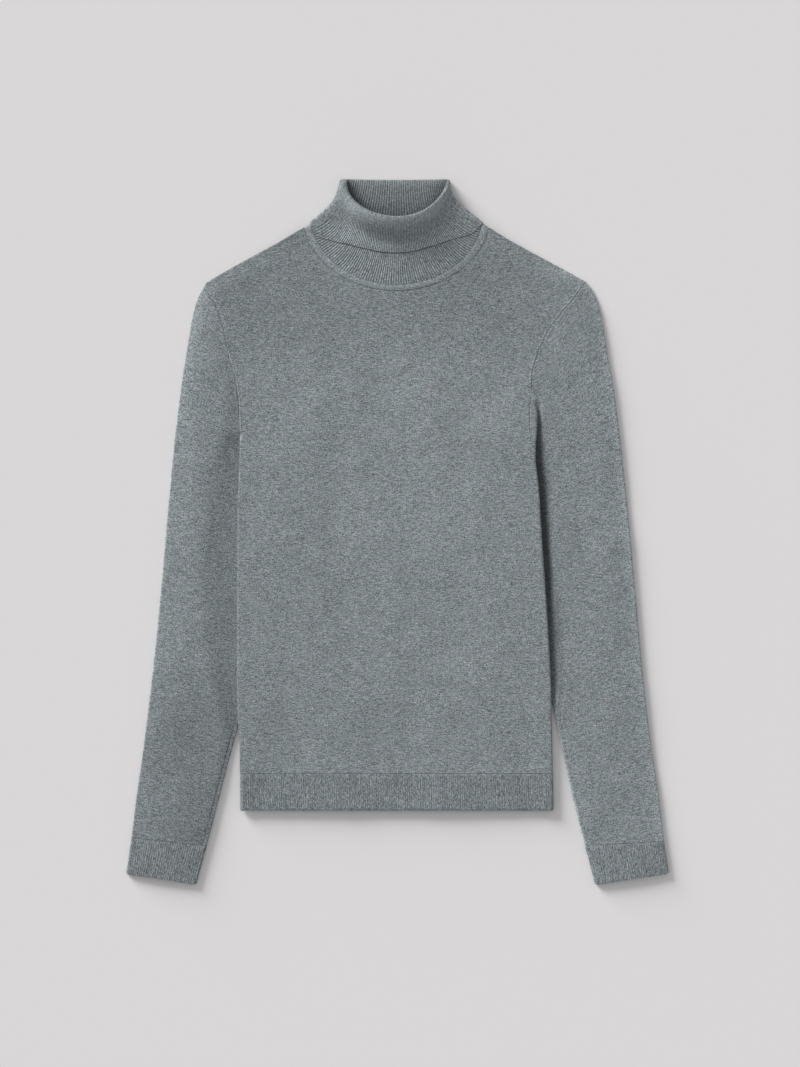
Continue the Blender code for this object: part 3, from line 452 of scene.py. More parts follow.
def neckline(phi):
    """The panels' edge along the neck band, drawn back a little where the band turns over."""
    point = stand_point(phi, NECKLINE)
    point[..., 0] -= CORNER_CLEARANCE * np.cos(phi) * (1 - corner_turn(phi) ** 2)
    return point


def unit(vector):
    return vector / np.maximum(np.linalg.norm(vector, axis=-1, keepdims=True), 1e-9)


def stand_frame(phi, share):
    """The outward normal of the stand, and the direction up it."""
    step = 1e-3
    around = stand_point(phi + step, share) - stand_point(phi - step, share)
    upward = stand_point(phi, share + step) - stand_point(phi, share - step)
    return unit(np.cross(around, upward)), unit(upward)


# ---- The body's shape


ARCS = np.array([0.04, 0.1, 0.18, 0.27, 0.36, 0.5, 0.64, 0.76, 0.88, 1.0])
TAILS = np.linspace(1 / 14, 1.0, 14)
FOLD_COLUMNS = len(ARCS) + len(TAILS)


def neck_height(x, y, back):
    """How strongly a panel is drawn to the neck band, and the band's height there."""
    face = -1.0 if back else 1.0
    phi = np.linspace(0.0, math.pi, NECK_STEPS) * face
    loop = neckline(phi)
    flat = loop[:, 2] + corner_open(NECKLINE) * (face - corner_turn(phi))
    away = np.hypot(x[..., None] - loop[:, 0], y[..., None] - loop[:, 1])
    near = bell(away, NECK_NEAR) + NECK_FAR_WEIGHT * bell(away, NECK_FAR) + 1e-30
    height = (near * flat).sum(axis=-1) / near.sum(axis=-1)
    return bell(away.min(axis=-1), NECK_PULL), height


def neck_corner(side):
    point = neckline(0.0 if side == "right" else math.pi)
    return float(point[0]), float(point[1])


OUTLINES = [
    [neck_corner(side), *placed(side, SHOULDER[side][::-1] + CAP_EDGE[side][1:])] for side in SIDES
]


def outline_rise(x, y):
    """0 on the shoulder and sleeve outline, 1 well inside it."""
    return soft_edge(np.minimum(*(distance_to(x, y, line) for line in OUTLINES)))


def fold_start(side):
    """The y at which a side of the body starts to fold under."""
    return FOLD[side][0][0]


def fold_out(side, y):
    return rising(FOLD[side], 1, y)


def armhole_low(side):
    """The armhole's lowest point, under the body."""
    out, y = SLEEVE[side][0][2:]
    return out, y + UNDERARM_RISE


def sleeve_under(x, y, spare=0.0):
    """Height that a pressed sleeve gives to what lies on it, up to a spare distance past it."""
    height = 0.0
    for side, sign in SIDES.items():
        rows = np.asarray(SLEEVE[side])[::-1]
        inner = through(y, rows[:, 3], rows[:, 2])
        top_out, top_y = ARMHOLE[side][-1]
        end_out, end_y = armhole_low(side)
        slope = (top_y - end_y) / (top_out - end_out)
        edge_y = end_y + slope * (np.maximum(sign * x, end_out) - end_out)
        over = smooth(*SLEEVE_RAMP_ACROSS, sign * x - inner + spare)
        height = height + over * smooth(*SLEEVE_RAMP_ALONG, edge_y - y + spare)
    return LAYER * np.minimum(height, 1.0)


def tuck_under(x, y):
    """Height that the folded sides give to what lies on them."""
    height = 0.0
    for side, sign in SIDES.items():
        start_y = fold_start(side)
        end = fold_out(side, y) - rising(FOLD[side], 2, y)
        over = smooth(*TUCK_RAMP, sign * x - end + TUCK_SPARE)
        height = height + over * smooth(start_y + TUCK_STARTS, start_y - TUCK_STARTS, y)
    return LAYER * np.minimum(height, 1.0)


def front_top(x, y):
    """Height of the front panel's outer face."""
    spread_out = np.clip(np.abs(x - BODY_MIDDLE_X) / BODY_HALF_WIDTH, 0, WIDEST_SHARE)
    edge = mix(BARE_EDGE_HEIGHT, UNDER_SLEEVE_HEIGHT, smooth(*EDGE_HEIGHT_Y, y))
    rise = (edge - PRESSED - CROWN) * spread_out**2 * smooth(*EDGE_RISE_Y, y)
    inside = outline_rise(x, y)
    height = PRESSED + CROWN * inside + rise + swell(x, y) * inside
    height = height + BELLY * smooth(*BELLY_Y, y) * smooth(*BELLY_X, np.abs(x))
    lowest = sleeve_under(x, y, SLEEVE_SPARE) + tuck_under(x, y) + PRESSED + LYING_GAP
    height = mix(height, softly_above(height, lowest), smooth(*LYING_Y, y))
    pull, neck = neck_height(x, y, back=False)
    return mix(height, neck + JERSEY / 2, pull)


def body_edge(side, y):
    """How far out the armhole seam or the folded edge lies."""
    hole = np.asarray(ARMHOLE[side])[::-1]
    seam = through(y, hole[:, 1], hole[:, 0])
    return np.where(y > fold_start(side), seam, fold_out(side, y))


def back_raise(x, y, front):
    """Height of the back panel's underside."""
    raised = sleeve_under(x, y, SLEEVE_SPARE) + tuck_under(x, y)
    for side, sign in SIDES.items():
        start_y = fold_start(side)
        near = smooth(*ARMHOLE_NEAR, body_edge(side, y) - sign * x)
        near = near * smooth(start_y + ARMHOLE_LIFT, start_y, y)
        raised = np.maximum(raised, near * (front - PRESSED))
    pull, neck = neck_height(x, y, back=True)
    return mix(raised, neck - JERSEY / 2, pull)


def curl(side, y, top, depth):
    """Points round the fold and along the side folded under, at a depth below the outer face.

    Above the fold's start the profile is a flat margin, and it curls within a short length.
    """
    sign = SIDES[side]
    edge_out = float(fold_out(side, y))
    under = float(sleeve_under(np.array(sign * edge_out), np.array(y)))
    turned = float(np.clip((fold_start(side) - y) / CURL_LENGTH, 0, 1))
    angle = math.pi * float(smooth(0, 1, turned))
    flat = (1 - turned) ** 2 * FLAT_MARGIN
    arc = ARC_PART * flat + angle * (top - under) / 2 * (1 + CURL_OPEN * (1 - turned))
    if angle > 1:
        arc = min(arc, angle * (top - under) / (1 - math.cos(angle)))
    tuck = float(rising(FOLD[side], 2, y) * smooth(*TUCK_FROM, turned))
    tail = (1 - ARC_PART) * flat + tuck
    crisp = mix(1, FOLD_CRISP, turned)
    turn = angle * ARCS
    if angle > CURL_FLAT_BELOW:
        radius = arc / angle
        reach = radius * np.clip(np.sin(turn), 0, 1) ** crisp
        fall = radius * (1 - np.cos(turn))
        whole = radius
        if angle < math.pi / 2:
            whole = radius * math.sin(angle) ** crisp + tail * math.cos(angle)
    else:
        reach = arc * ARCS
        fall = 0 * ARCS
        whole = arc + tail
    start = edge_out - whole
    tail_out = start + reach[-1] + TAILS * tail * math.cos(angle)
    height = top - fall[-1] - TAILS * tail * math.sin(angle)
    rest = sleeve_under(sign * tail_out, np.full(len(TAILS), y))
    height = np.maximum(height, rest) if angle < CURL_LIES_ABOVE else rest
    turn = np.concatenate([turn, np.full(len(TAILS), angle)])
    out = np.concatenate([start + reach, tail_out]) - depth * np.sin(turn)
    height = np.concatenate([top - fall, height]) - depth * np.cos(turn)
    return np.column_stack([sign * out, np.full(len(out), y), height]), start


def corner_shares():
    """Where the neck corners lie, as shares of the width between the shoulder points."""
    start, end = (placed(side, SHOULDER[side])[0][0] for side in SIDES)
    return [(neck_corner(side)[0] - start) / (end - start) for side in SIDES]


def panel_top(shares, back):
    """The panel's upper outline at shares of its width: shoulder, neckline, shoulder."""
    low, high = corner_shares()
    right, left = (placed(side, SHOULDER[side]) + [neck_corner(side)] for side in SIDES)
    right = along(np.clip(shares / low, 0, 1), right)
    left = along(np.clip((1 - shares) / (1 - high), 0, 1), left)
    middle = np.clip((shares - low) / (high - low), 0, 1)
    neck = neckline(np.arccos(1 - 2 * middle) * (-1.0 if back else 1.0))[:, :2].T
    return np.where(shares <= low, right, np.where(shares >= high, left, neck))


def panel_plan(shares, up, top):
    """Points of the panel above the folds: shares across, up from the folds to the top."""
    rise = np.array([[1 - (1 - up) ** 2], [up]])
    edges = [np.array(placed(side, ARMHOLE[side])) for side in SIDES]
    low_right, low_left = (edge[-1][:, None] for edge in edges)
    points = mix(mix(low_right, low_left, shares), top, rise)
    for edge, share in zip(edges, (1 - shares, shares)):
        straight = mix(edge[-1][:, None], edge[0][:, None], rise)
        points = points + share * (along([1 - up], edge) - straight)
    return points


def layer_height(x, y, depth, is_back):
    front = front_top(x, y)
    if not is_back:
        return front - depth
    return back_raise(x, y, front) + PRESSED - depth


def body_row(y_right, y_left, shares, depth, is_back):
    """One row of a body layer: end of the right tuck, fold, top, fold, end of the left tuck."""
    ends = []
    for side, y in zip(SIDES, (y_right, y_left)):
        x = np.array(SIDES[side] * (float(fold_out(side, y)) - EDGE_INSIDE))
        ends.append(curl(side, y, float(front_top(x, np.array(y))), depth))
    (right, right_out), (left, left_out) = ends
    x = mix(-right_out, left_out, shares)
    y = mix(y_right, y_left, shares)
    middle = np.stack([x, y, layer_height(x, y, depth, is_back)], axis=-1)
    return np.concatenate([right[::-1], middle, left])


def upper_shares(shares):
    """The same columns above the folds, as shares of the panel's width."""
    margin = np.concatenate([1 - ARC_PART * ARCS, (1 - ARC_PART) * (1 - TAILS)])
    margin = MARGIN_SHARE * margin
    inside = MARGIN_SHARE + (1 - 2 * MARGIN_SHARE) * shares
    return np.concatenate([margin[::-1], inside, 1 - margin])


# ---- The sleeves' shape


def fold_share(side):
    """Where the body's fold starts, as a share of the armhole's length."""
    hole = np.array([*ARMHOLE[side], armhole_low(side)])
    lengths = np.hypot(*np.diff(hole, axis=0).T)
    return 1 - lengths[-1] / lengths.sum()


def armhole_point(side, share):
    """The armhole, seen to where the fold starts, then straight to its lowest point."""
    seen = fold_share(side)
    start, low = np.array([ARMHOLE[side][-1], armhole_low(side)])[:, :, None]
    hidden = mix(start, low, np.clip((share - seen) / (1 - seen), 0, 1))
    return np.where(share > seen, hidden, along(np.clip(share / seen, 0, 1), ARMHOLE[side]))


def spread(side, share, down):
    """Shares across the sleeve, moved so that its columns lie below the fold's start."""
    seen = fold_share(side)
    below = FOLD_ACROSS[side]
    beyond = below + (share - seen) * (1 - below) / (1 - seen)
    moved = np.where(share <= seen, share * below / seen, beyond)
    return mix(moved, share, smooth(*SPREAD_ENDS, down))


def sleeve_ring(side, down):
    """Outer and inner edge points of the sleeve, down 0 at the upper arm to 1 at the cuff."""
    rows = np.asarray(SLEEVE[side])
    at = np.linspace(0, 1, len(rows))
    return np.array([through(down, at, column) for column in rows.T]).reshape(2, 2, 1)


def sleeve_plan(side, ring_at, share):
    """Plan of the sleeve: ring_at -1 at the armhole, 0 at the upper arm, 1 at the cuff."""
    down = max(ring_at, 0.0)
    outer, inner = sleeve_ring(side, down)
    plan = mix(outer, inner, spread(side, share, down))
    if ring_at >= 0:
        return plan
    edge = along([1 + ring_at], CAP_EDGE[side])
    edge = edge - mix(outer, np.array(ARMHOLE[side][0])[:, None], -ring_at)
    return mix(plan, armhole_point(side, share), -ring_at) + (1 - share) * edge


def from_edges(side, ring_at, share):
    """How far places across a sleeve lie from its outer and from its inner edge."""
    down = max(ring_at, 0.0)
    outer, inner = sleeve_ring(side, down)
    across = spread(side, share, down)
    width = np.hypot(*(inner - outer))
    return across * width, (1 - across) * width


def trough(side, out, y):
    """0 in the trough along the body's edge and under the body, 1 where the sleeve is free."""
    beside = out - fold_out(side, y) - rising(TROUGH[side], 1, y)
    free = smooth(0, 1, beside / rising(TROUGH[side], 2, y))
    free = np.maximum(free, smooth(*FREE_BELOW_Y, y))
    return 1 - smooth(*SLEEVE_DIP, y - fold_start(side)) * (1 - free)


def sleeve_tone(side, ring_at, share):
    """A sleeve's tone: painted shade in the hollow, painted light along its edges, darker towards
    the cuff, painted shade on the cap's seam, and at the underarm painted light on the inner edge
    and painted shade in the seam's groove.
    """
    out, y = sleeve_plan(side, ring_at, share)
    darkest, width, fade = (rising(HOLLOW[side], column, y) for column in (1, 2, 3))
    t = np.clip((out - body_edge(side, y) - width) / fade, 0, 1)
    edge = np.array([*CAP_EDGE[side][:-1], *(row[:2] for row in SLEEVE[side])])[::-1]
    inside = np.maximum(through(y, edge[:, 1], edge[:, 0]) - out, 0)
    tone, centre, width = EDGE_PAINTED_LIGHT[side]
    tones = mix(darkest, 1, t**HOLLOW_FADE) * (1 + tone * bell(inside, width, centre))
    tones = tones * (1 + LOW_TONE[side] * smooth(*LOW_TONE_Y, y))
    near = bell(distance_to(out, y, ARMHOLE[side]), CAP_LINE_WIDTH)
    tones = tones * (1 - CAP_SEAM_PAINTED_SHADE[side] * near * smooth(*CAP_LINE_Y, y))
    inside = from_edges(side, ring_at, share)[1]
    seam = UNDERARM_PAINTED_SHADE[side] * bell(inside, UNDERARM_LINE_WIDTH, UNDERARM_SEAM_AT)
    seam = seam * smooth(*UNDERARM_LINE_FADES, ring_at)
    # Painted light on the lower inner edge and painted shade in the underarm seam's groove
    rim = INNER_TONE * bell(inside, INNER_TONE_WIDTH)
    return tones * (1 + smooth(*UNDERARM_SHOWN, ring_at) * (rim - seam))


def cuff_top(share):
    """Height of a cuff's top across its width."""
    crown = np.sin(math.pi * np.clip(share, 0, 1)) ** CUFF_CROWN_ROUND
    return CUFF_PRESSED + CUFF_CROWN * mix(RIM, 1, crown)


# ---- Relief and tone: seams and ribs


SEAM_STARTS = (8, 26)
RIB_ROUND = 0.8
UNDERARM_SEAM_AT = 4.7
UNDERARM_GROOVE = 0.3
UNDERARM_GROOVE_WIDTH = 0.7
UNDERARM_LINE_WIDTH = 0.8
UNDERARM_LINE_FADES = (1, 0.8)
UNDERARM_SHOWN = (0.45, 0.6)
# Painted shade in the underarm seam's groove, by side
UNDERARM_PAINTED_SHADE = {"right": 0.3, "left": 0.12}
# Where the left armhole seam runs on, over the front, down to the folded edge: x, y
SEAM_TO_FOLD = (
    (158.5, 180.0), (157.4, 165.0), (155.9, 145.0), (155.7, 126.0), (157.6, 114.0),
    (162.3, 102.0),
)
FAR = 99.0
# Soft lines beside a seam: strength, where, width
SEAM_SECTION = ((0.3, 1.6, 0.9), (-0.08, 0.0, 0.6))
DRAWN_RELIEF = ((-0.3, 0.0, 0.7), (0.25, 1.5, 0.8))
# Painted shade in the seams' grooves and painted highlights on their lit ridges
DRAWN_SEAM_SHADE_AND_LIGHT = ((-0.34, 0.0, 0.75), (0.2, 1.6, 0.8))
RIDGE_TONE = ((0.03, 1.3, 0.8), (-0.018, 3.2, 0.9))
HIGH_RIDGE_TONE = ((0.45, 2.7, 1.0), (-0.2, 0.0, 1.0))
RIDGE_FROM_Y = (125, 165)
# Painted shade beside the wearer's right shoulder seam, whose slope faces the light
SHOULDER_PAINTED_SHADE = ((-0.2, 0.0, 9.0),)
PANEL_TONE = 0.98
MIDDLE_TONE = 0.055
# Width and centre of the lighter middle
MIDDLE_X = (120, -15)
MIDDLE_Y = (170, 60)
TOP_DIM = 0.03
TOP_DIM_Y = (190, 280)
# Painted shade over the wearer's right shoulder, whose slope faces the light
CORNER_DIM = 0.09
CORNER_DIM_X = (-20, -140)
CORNER_DIM_Y = (170, 260)


def lines_beside(away, lines):
    """The sum of soft lines at some distances from a seam."""
    return sum(strength * bell(away, width, at) for strength, at, width in lines)


def beside_drawn_seam(x, y):
    """How far right of the seam that runs on over the front a point is; far beyond its ends."""
    rows = np.asarray(SEAM_TO_FOLD)[::-1]
    ends = (y > rows[-1, 1]) | (y < rows[0, 1])
    return np.where(ends, FAR, x - through(y, rows[:, 1], rows[:, 0]))


def rib_profile(turns):
    """0 in the grooves between ribs and 1 on their crowns; one rib to a turn."""
    return np.abs(np.sin(math.pi * turns)) ** RIB_ROUND


def panel_relief(x, y):
    """The seams round the front panel."""
    lines = [placed("right", ARMHOLE["right"]), placed("left", ARMHOLE["left"])[:-1]]
    lines += [placed(side, SHOULDER[side]) for side in SIDES]
    total = sum(lines_beside(distance_to(x, y, line), SEAM_SECTION) for line in lines)
    return total + lines_beside(beside_drawn_seam(x, y), DRAWN_RELIEF)


def panel_tone(x, y):
    """The front panel's tone: painted shade and highlights along its seams, painted shade on the
    wearer's right shoulder, a lighter middle and a dimmer top.
    """
    shoulder = distance_to(x, y, placed("right", SHOULDER["right"]))
    hole = distance_to(x, y, placed("right", ARMHOLE["right"]))
    top = smooth(*CAP_LINE_Y, y)
    ridge = lines_beside(hole, RIDGE_TONE) * smooth(*RIDGE_FROM_Y, y) * (1 - top)
    tone = 1 + lines_beside(beside_drawn_seam(x, y), DRAWN_SEAM_SHADE_AND_LIGHT)
    tone = tone * (1 + lines_beside(shoulder, SHOULDER_PAINTED_SHADE))
    tone = tone * (1 + ridge + lines_beside(hole, HIGH_RIDGE_TONE) * top)
    middle = bell(x, *MIDDLE_X) * bell(y, *MIDDLE_Y)
    dim = CORNER_DIM * smooth(*CORNER_DIM_X, x) * smooth(*CORNER_DIM_Y, y)
    return tone * (PANEL_TONE + MIDDLE_TONE * middle - TOP_DIM * smooth(*TOP_DIM_Y, y) - dim)


# ---- Meshes


SHARP_ANGLE = math.radians(60)


def place(name, data):
    """A new object in the scene."""
    made = bpy.data.objects.new(name, data)
    bpy.context.scene.collection.objects.link(made)
    return made


def grid_faces(rows, columns, closed):
    """Quads of a wall's section loop by its columns, as indices of points and of UV points."""
    at = np.arange(rows * columns).reshape(rows, columns)
    uv_at = np.arange(rows * (columns + closed)).reshape(rows, columns + closed)
    if closed:
        at = np.concatenate([at, at[:, :1]], axis=1)
    quads = []
    for index in (at, uv_at):
        after = np.roll(index, -1, axis=0)
        corners = [index[:, :-1], index[:, 1:], after[:, 1:], after[:, :-1]]
        quads.append(np.stack(corners, axis=-1).reshape(-1, 4))
    if not closed:
        k = np.arange(rows // 2 - 1)
        for end, order in ((0, (0, 1, 2, 3)), (-1, (1, 0, 3, 2))):
            rim = [at[k, end], at[k + 1, end], at[rows - 2 - k, end], at[rows - 1 - k, end]]
            cap = np.stack([rim[i] for i in order], axis=-1)
            quads = [np.concatenate([found, cap]) for found in quads]
    return quads


def add_cloth(name, outer, inner, uv, cloth, closed=False, shade=None):
    """A closed wall between two grids of points in millimetres, with UVs in metres."""
    grid = np.concatenate([outer, inner[::-1]])
    faces, uv_faces = grid_faces(*grid.shape[:2], closed)
    points = grid.reshape(-1, 3) * MM
    uv = np.concatenate([uv, uv[::-1]]).reshape(-1, 2)
    a, b, c = (points[faces[:, k]] for k in range(3))
    if np.einsum("ij,ij->i", a, np.cross(b, c)).sum() < 0:
        faces = faces[:, ::-1]
        uv_faces = uv_faces[:, ::-1]
    mesh = bpy.data.meshes.new(name)
    mesh.from_pydata(points.tolist(), [], faces.tolist())
    layer = mesh.uv_layers.new(name="knit")
    layer.data.foreach_set("uv", uv[uv_faces.ravel()].ravel())
    # Per-point painted light and shade, which the material multiplies into the colour
    values = np.ones(len(points))
    if shade is not None:
        values = np.concatenate([shade[0], shade[1][::-1]]).ravel()
    mesh.attributes.new("shade", "FLOAT", "POINT").data.foreach_set("value", values)
    mesh.shade_smooth()
    mesh.set_sharp_from_angle(angle=SHARP_ANGLE)
    mesh.materials.append(cloth)
    return place(name, mesh)


# ---- Body


SHOULDER_COLUMNS = 28
SEAM_COLUMNS = (0.93, 1 - MARGIN_SHARE, 22)
NECK_COLUMNS = 84
# Painted shade round the fold on the wearer's right, whose side faces the light
FOLD_PAINTED_SHADE = 0.42
# Distances of the lowest rows from the hem seam, then the length and rows by the folds' start
HEM_SEAM_ROWS = (0.0, 0.35, 0.8, 1.4, 2.1, 2.9, 3.8, 5.0, 7.0)
START_LENGTH = 26.0
START_ROWS = 14
EVEN_ROWS_END = 0.975
TOP_ROWS = (0.022, 0.017, 0.0125, 0.009, 0.006, 0.0035, 0.0015, 0.0)
# Row step and rows above the folds, in front and behind
FRONT_ROWS = (3.6, 52)
BACK_ROWS = (6.5, 34)


def body_shares():
    """Columns across a panel between its folds, closer together at the neck corners."""
    low, high = corner_shares()
    turn = np.linspace(0, math.pi, NECK_COLUMNS + 1)
    neck = mix(low, high, (1 - np.cos(turn)) / 2)
    first = np.linspace(MARGIN_SHARE, low, SHOULDER_COLUMNS + 1)[:-1]
    near = 1 - np.linspace(*SEAM_COLUMNS)[::-1]
    first = np.concatenate([near, first[first > near[-1] + 1e-4]])
    last = np.linspace(high, 1 - MARGIN_SHARE, SHOULDER_COLUMNS + 1)[1:]
    last = np.concatenate([last[last < SEAM_COLUMNS[0]], np.linspace(*SEAM_COLUMNS)])
    return (np.concatenate([first, neck, last]) - MARGIN_SHARE) / (1 - 2 * MARGIN_SHARE)


def body_layer(depth, is_back, seams=False):
    """A panel's grid of points at a depth below its outer face, with its seams if asked."""
    step, upper_count = BACK_ROWS if is_back else FRONT_ROWS
    shares = body_shares()
    across = upper_shares(shares)
    top = panel_top(across, is_back)
    length = fold_start("right") - HEM_SEAM_Y
    near_start = length - np.linspace(0.0, START_LENGTH, START_ROWS)[::-1]
    middle = np.arange(HEM_SEAM_ROWS[-1] + step, near_start[0] - step / 2, step)
    even = np.linspace(0, 1, upper_count + 1)[1:]
    rows = []
    for fall in 1 - np.concatenate([HEM_SEAM_ROWS, middle, near_start]) / length:
        ends = [mix(fold_start(side), HEM_SEAM_Y + SEAM_GAP, fall) for side in SIDES]
        rows.append(body_row(*ends, shares, depth, is_back))
    lower = len(rows)
    for up in np.concatenate([even[even < EVEN_ROWS_END], 1 - np.array(TOP_ROWS)]):
        x, y = panel_plan(across, up, top)
        rows.append(np.stack([x, y, layer_height(x, y, depth, is_back)], axis=-1))
    layer = np.array(rows)
    if seams:
        relief = panel_relief(layer[..., 0], layer[..., 1])
        relief[:lower, :FOLD_COLUMNS] = 0.0
        relief[:lower, -FOLD_COLUMNS:] = 0.0
        layer[..., 2] += relief
    return layer


def body_uv(layer):
    """Across and along the knit: the length of each row round its folds, and y."""
    step = np.hypot(np.diff(layer[..., 0], axis=1), np.diff(layer[..., 2], axis=1))
    length = np.concatenate([np.zeros((len(layer), 1)), np.cumsum(step, axis=1)], axis=1)
    middle = layer.shape[1] // 2
    u = length - length[:, middle : middle + 1] + layer[:, middle : middle + 1, 0]
    return np.stack([u, layer[..., 1]], axis=-1) * MM


def body_tone(layer):
    """The front panel's tone, with painted shade round the fold on the wearer's right, whose side
    faces the light.
    """
    folded = np.arange(layer.shape[1]) < FOLD_COLUMNS - 2
    start_y = fold_start("right")
    folded = folded * smooth(start_y, start_y - CURL_LENGTH, layer[..., 1])
    return panel_tone(layer[..., 0], layer[..., 1]) * (1 - FOLD_PAINTED_SHADE * folded)


def add_pair(names, make_layer, tone_of, cloth):
    """The front of a part of the body, and the back that lies under it."""
    front = make_layer(0.0, False, True)
    tone = tone_of(front)
    inner = make_layer(JERSEY, False)
    back_inner, back = (make_layer(SEAM_GAP + depth, True) for depth in (JERSEY, 2 * JERSEY))
    return (
        add_cloth(names[0], front, inner, body_uv(front), cloth, shade=(tone, tone)),
        add_cloth(names[1], back_inner, back, body_uv(back), cloth),
    )


# ---- Hem


RIB_COLUMNS = 6
HEM_RIBS = 140
HEM_ROWS = np.array(
    [0.0, 0.3, 0.8, 1.6, 3.0, 8.0, 15.0, 22.0, 29.0, 36.0, 40.5, 42.6, 43.4, 43.8, 44.0]
)
HEM_SEED = 11
HEM_TUCK_IN = 0.45
HEM_SEAM_DIP = 0.12
FLAT_RIB_HEIGHT = 0.24
# Range of the painted shade in the flat ribs' grooves
FLAT_RIB_TONE = (0.05, 0.25)
RIBS_BEGIN = (0.2, 2.5)
ROUNDED_END = (0, 1.2)
SCALLOP = 0.35
SCALLOP_LENGTH = (4.0, 0.0)
CORNER_RADIUS = 2.2
SEAM_TONE = 0.9
END_TONE = 1.3
END_ROWS = 3


def flat_ribs(profile, from_seam, from_end, dip):
    """Height of flat ribs, which rise below a dip at the seam and sink to the rounded end."""
    strength = smooth(*RIBS_BEGIN, from_seam) * smooth(*ROUNDED_END, from_end)
    return FLAT_RIB_HEIGHT * strength * profile - dip * (1 - smooth(*ROUNDED_END, from_seam))


def scallop(profile, from_end):
    """How far the grooves between the ribs draw back at the open end."""
    return SCALLOP * smooth(*SCALLOP_LENGTH, from_end) * (1 - profile)


def corner_inset(from_end):
    """How far a rib's rounded corner draws in at a distance from its open end."""
    at = np.clip(from_end / CORNER_RADIUS, 0, 1)
    return CORNER_RADIUS * (1 - math.sqrt(1 - (1 - at) ** 2))


def rib_tones(first, count, seed, layer, whole=1.0):
    """Tones of flat ribs: painted shade in the grooves, uneven from rib to rib, lighter at the end.
    """
    turns = np.linspace(0, 1, RIB_COLUMNS * count + 1) * count
    groove = 1 - rib_profile(turns) ** 2
    depth = np.random.default_rng(seed).uniform(*FLAT_RIB_TONE, count + 1)
    depth = np.interp(turns, np.arange(count + 1), depth)
    tones = np.ones(layer.shape[:2])
    across = (1 - groove * depth) / (1 - groove.mean() * depth.mean())
    tones[:, first : first + len(turns)] = across
    tones *= whole
    tones[0] *= SEAM_TONE
    tones[-END_ROWS:] *= END_TONE
    return tones


def hem_layer(depth, is_back, outside=False):
    """A hem's grid of points at a depth below the outer face, with its ribs on the outside."""
    shares = np.linspace(0, 1, RIB_COLUMNS * HEM_RIBS + 1)
    profile = rib_profile(shares * HEM_RIBS)
    turned = np.concatenate([np.cos(math.pi * ARCS), np.full(len(TAILS), -1.0)])
    up = np.concatenate([turned[::-1], np.ones(len(shares)), turned])
    ribbed = slice(FOLD_COLUMNS, -FOLD_COLUMNS)
    rows = []
    for down in HEM_ROWS:
        y = HEM_SEAM_Y - down
        row = body_row(y, y, shares, depth, is_back)
        from_end = HEM_ROWS[-1] - down
        tuck_in = HEM_TUCK_IN * (1 - smooth(*ROUNDED_END, from_end))
        row[:, 2] += up * (-tuck_in if outside else tuck_in)
        if outside:
            row[ribbed, 2] += flat_ribs(profile, down, from_end, HEM_SEAM_DIP)
        row[ribbed, 1] += scallop(profile, from_end)
        row[:, 0] -= corner_inset(from_end) * (row[:, 0] - BODY_MIDDLE_X) / BODY_HALF_WIDTH
        rows.append(row)
    layer = np.array(rows)
    # The back's outer face lies on the floor
    if depth > PRESSED - SEAM_GAP:
        layer[..., 2] -= layer[..., 2].min()
    return layer


# ---- Sleeves and cuffs


EDGE_STEPS = np.array([0.06, 0.25, 0.55])
SLEEVE_RINGS = np.concatenate(
    [
        -1 + np.array([0.0, 0.006, 0.014, 0.024, 0.036, 0.05]),
        np.linspace(-0.92, -0.04, 30),
        np.linspace(0, 1, 116),
    ]
)
# Columns of a sleeve above, to the fold's start and beyond it, and the columns below
SLEEVE_COLUMNS = (84, 44)
SLEEVE_BELOW = np.linspace(0.02, 0.98, 40)
CUFF_BELOW = np.linspace(0.01, 0.99, 60)
KNIT_TILT = {"right": 0.4, "left": 0.6}
KNIT_TILT_Y = (60.0, 250.0)
CUFF_RIBS = 32
CUFF_FIRST_RIB = 1 + len(EDGE_STEPS)
CUFF_ROWS = np.array(
    [0.0, 0.01, 0.025, 0.05, 0.1, 0.25, 0.4, 0.55, 0.7, 0.85, 0.95, 0.975, 0.988, 1.0]
)
CUFF_TUCK_IN = 0.4
CUFF_SEAM_DIP = 0.1
CUFF_SEED = {"right": 12, "left": 13}
CUFF_TONE = {"right": 0.98, "left": 1.05}


def tube_ring(side, plan, top_height, inset, top_shares, bottom_shares):
    """One ring of a flattened tube at an inset into its wall, with rounded edges."""
    start, end = plan(np.array([0.0, 1.0])).T
    width = math.hypot(*(end - start))
    edge = inset / width
    lip = (TUBE_EDGE + INNER_LIP * inset) / width
    above, below = (
        np.clip(lip + (1 - 2 * lip) * shares, edge, 1 - edge)
        for shares in (top_shares, bottom_shares)
    )
    turn = np.sqrt(1 - (1 - EDGE_STEPS) ** 2)
    steps = mix(edge, lip, EDGE_STEPS)
    high = top_height(above) - inset
    first = (high[0] + inset) / 2
    last = (high[-1] + inset) / 2
    shares = [[edge], steps, above, 1 - steps[::-1], [1 - edge]]
    heights = [[first], mix(first, high[0], turn), high]
    heights += [mix(last, high[-1], turn[::-1]), [last]]
    shares += [1 - steps, below[::-1], steps[::-1]]
    heights += [mix(last, inset, turn), np.full(len(below), inset)]
    heights += [mix(first, inset, turn[::-1])]
    share = np.concatenate(shares)
    out, y = plan(share)
    return np.column_stack([SIDES[side] * out, y, np.concatenate(heights)]), share


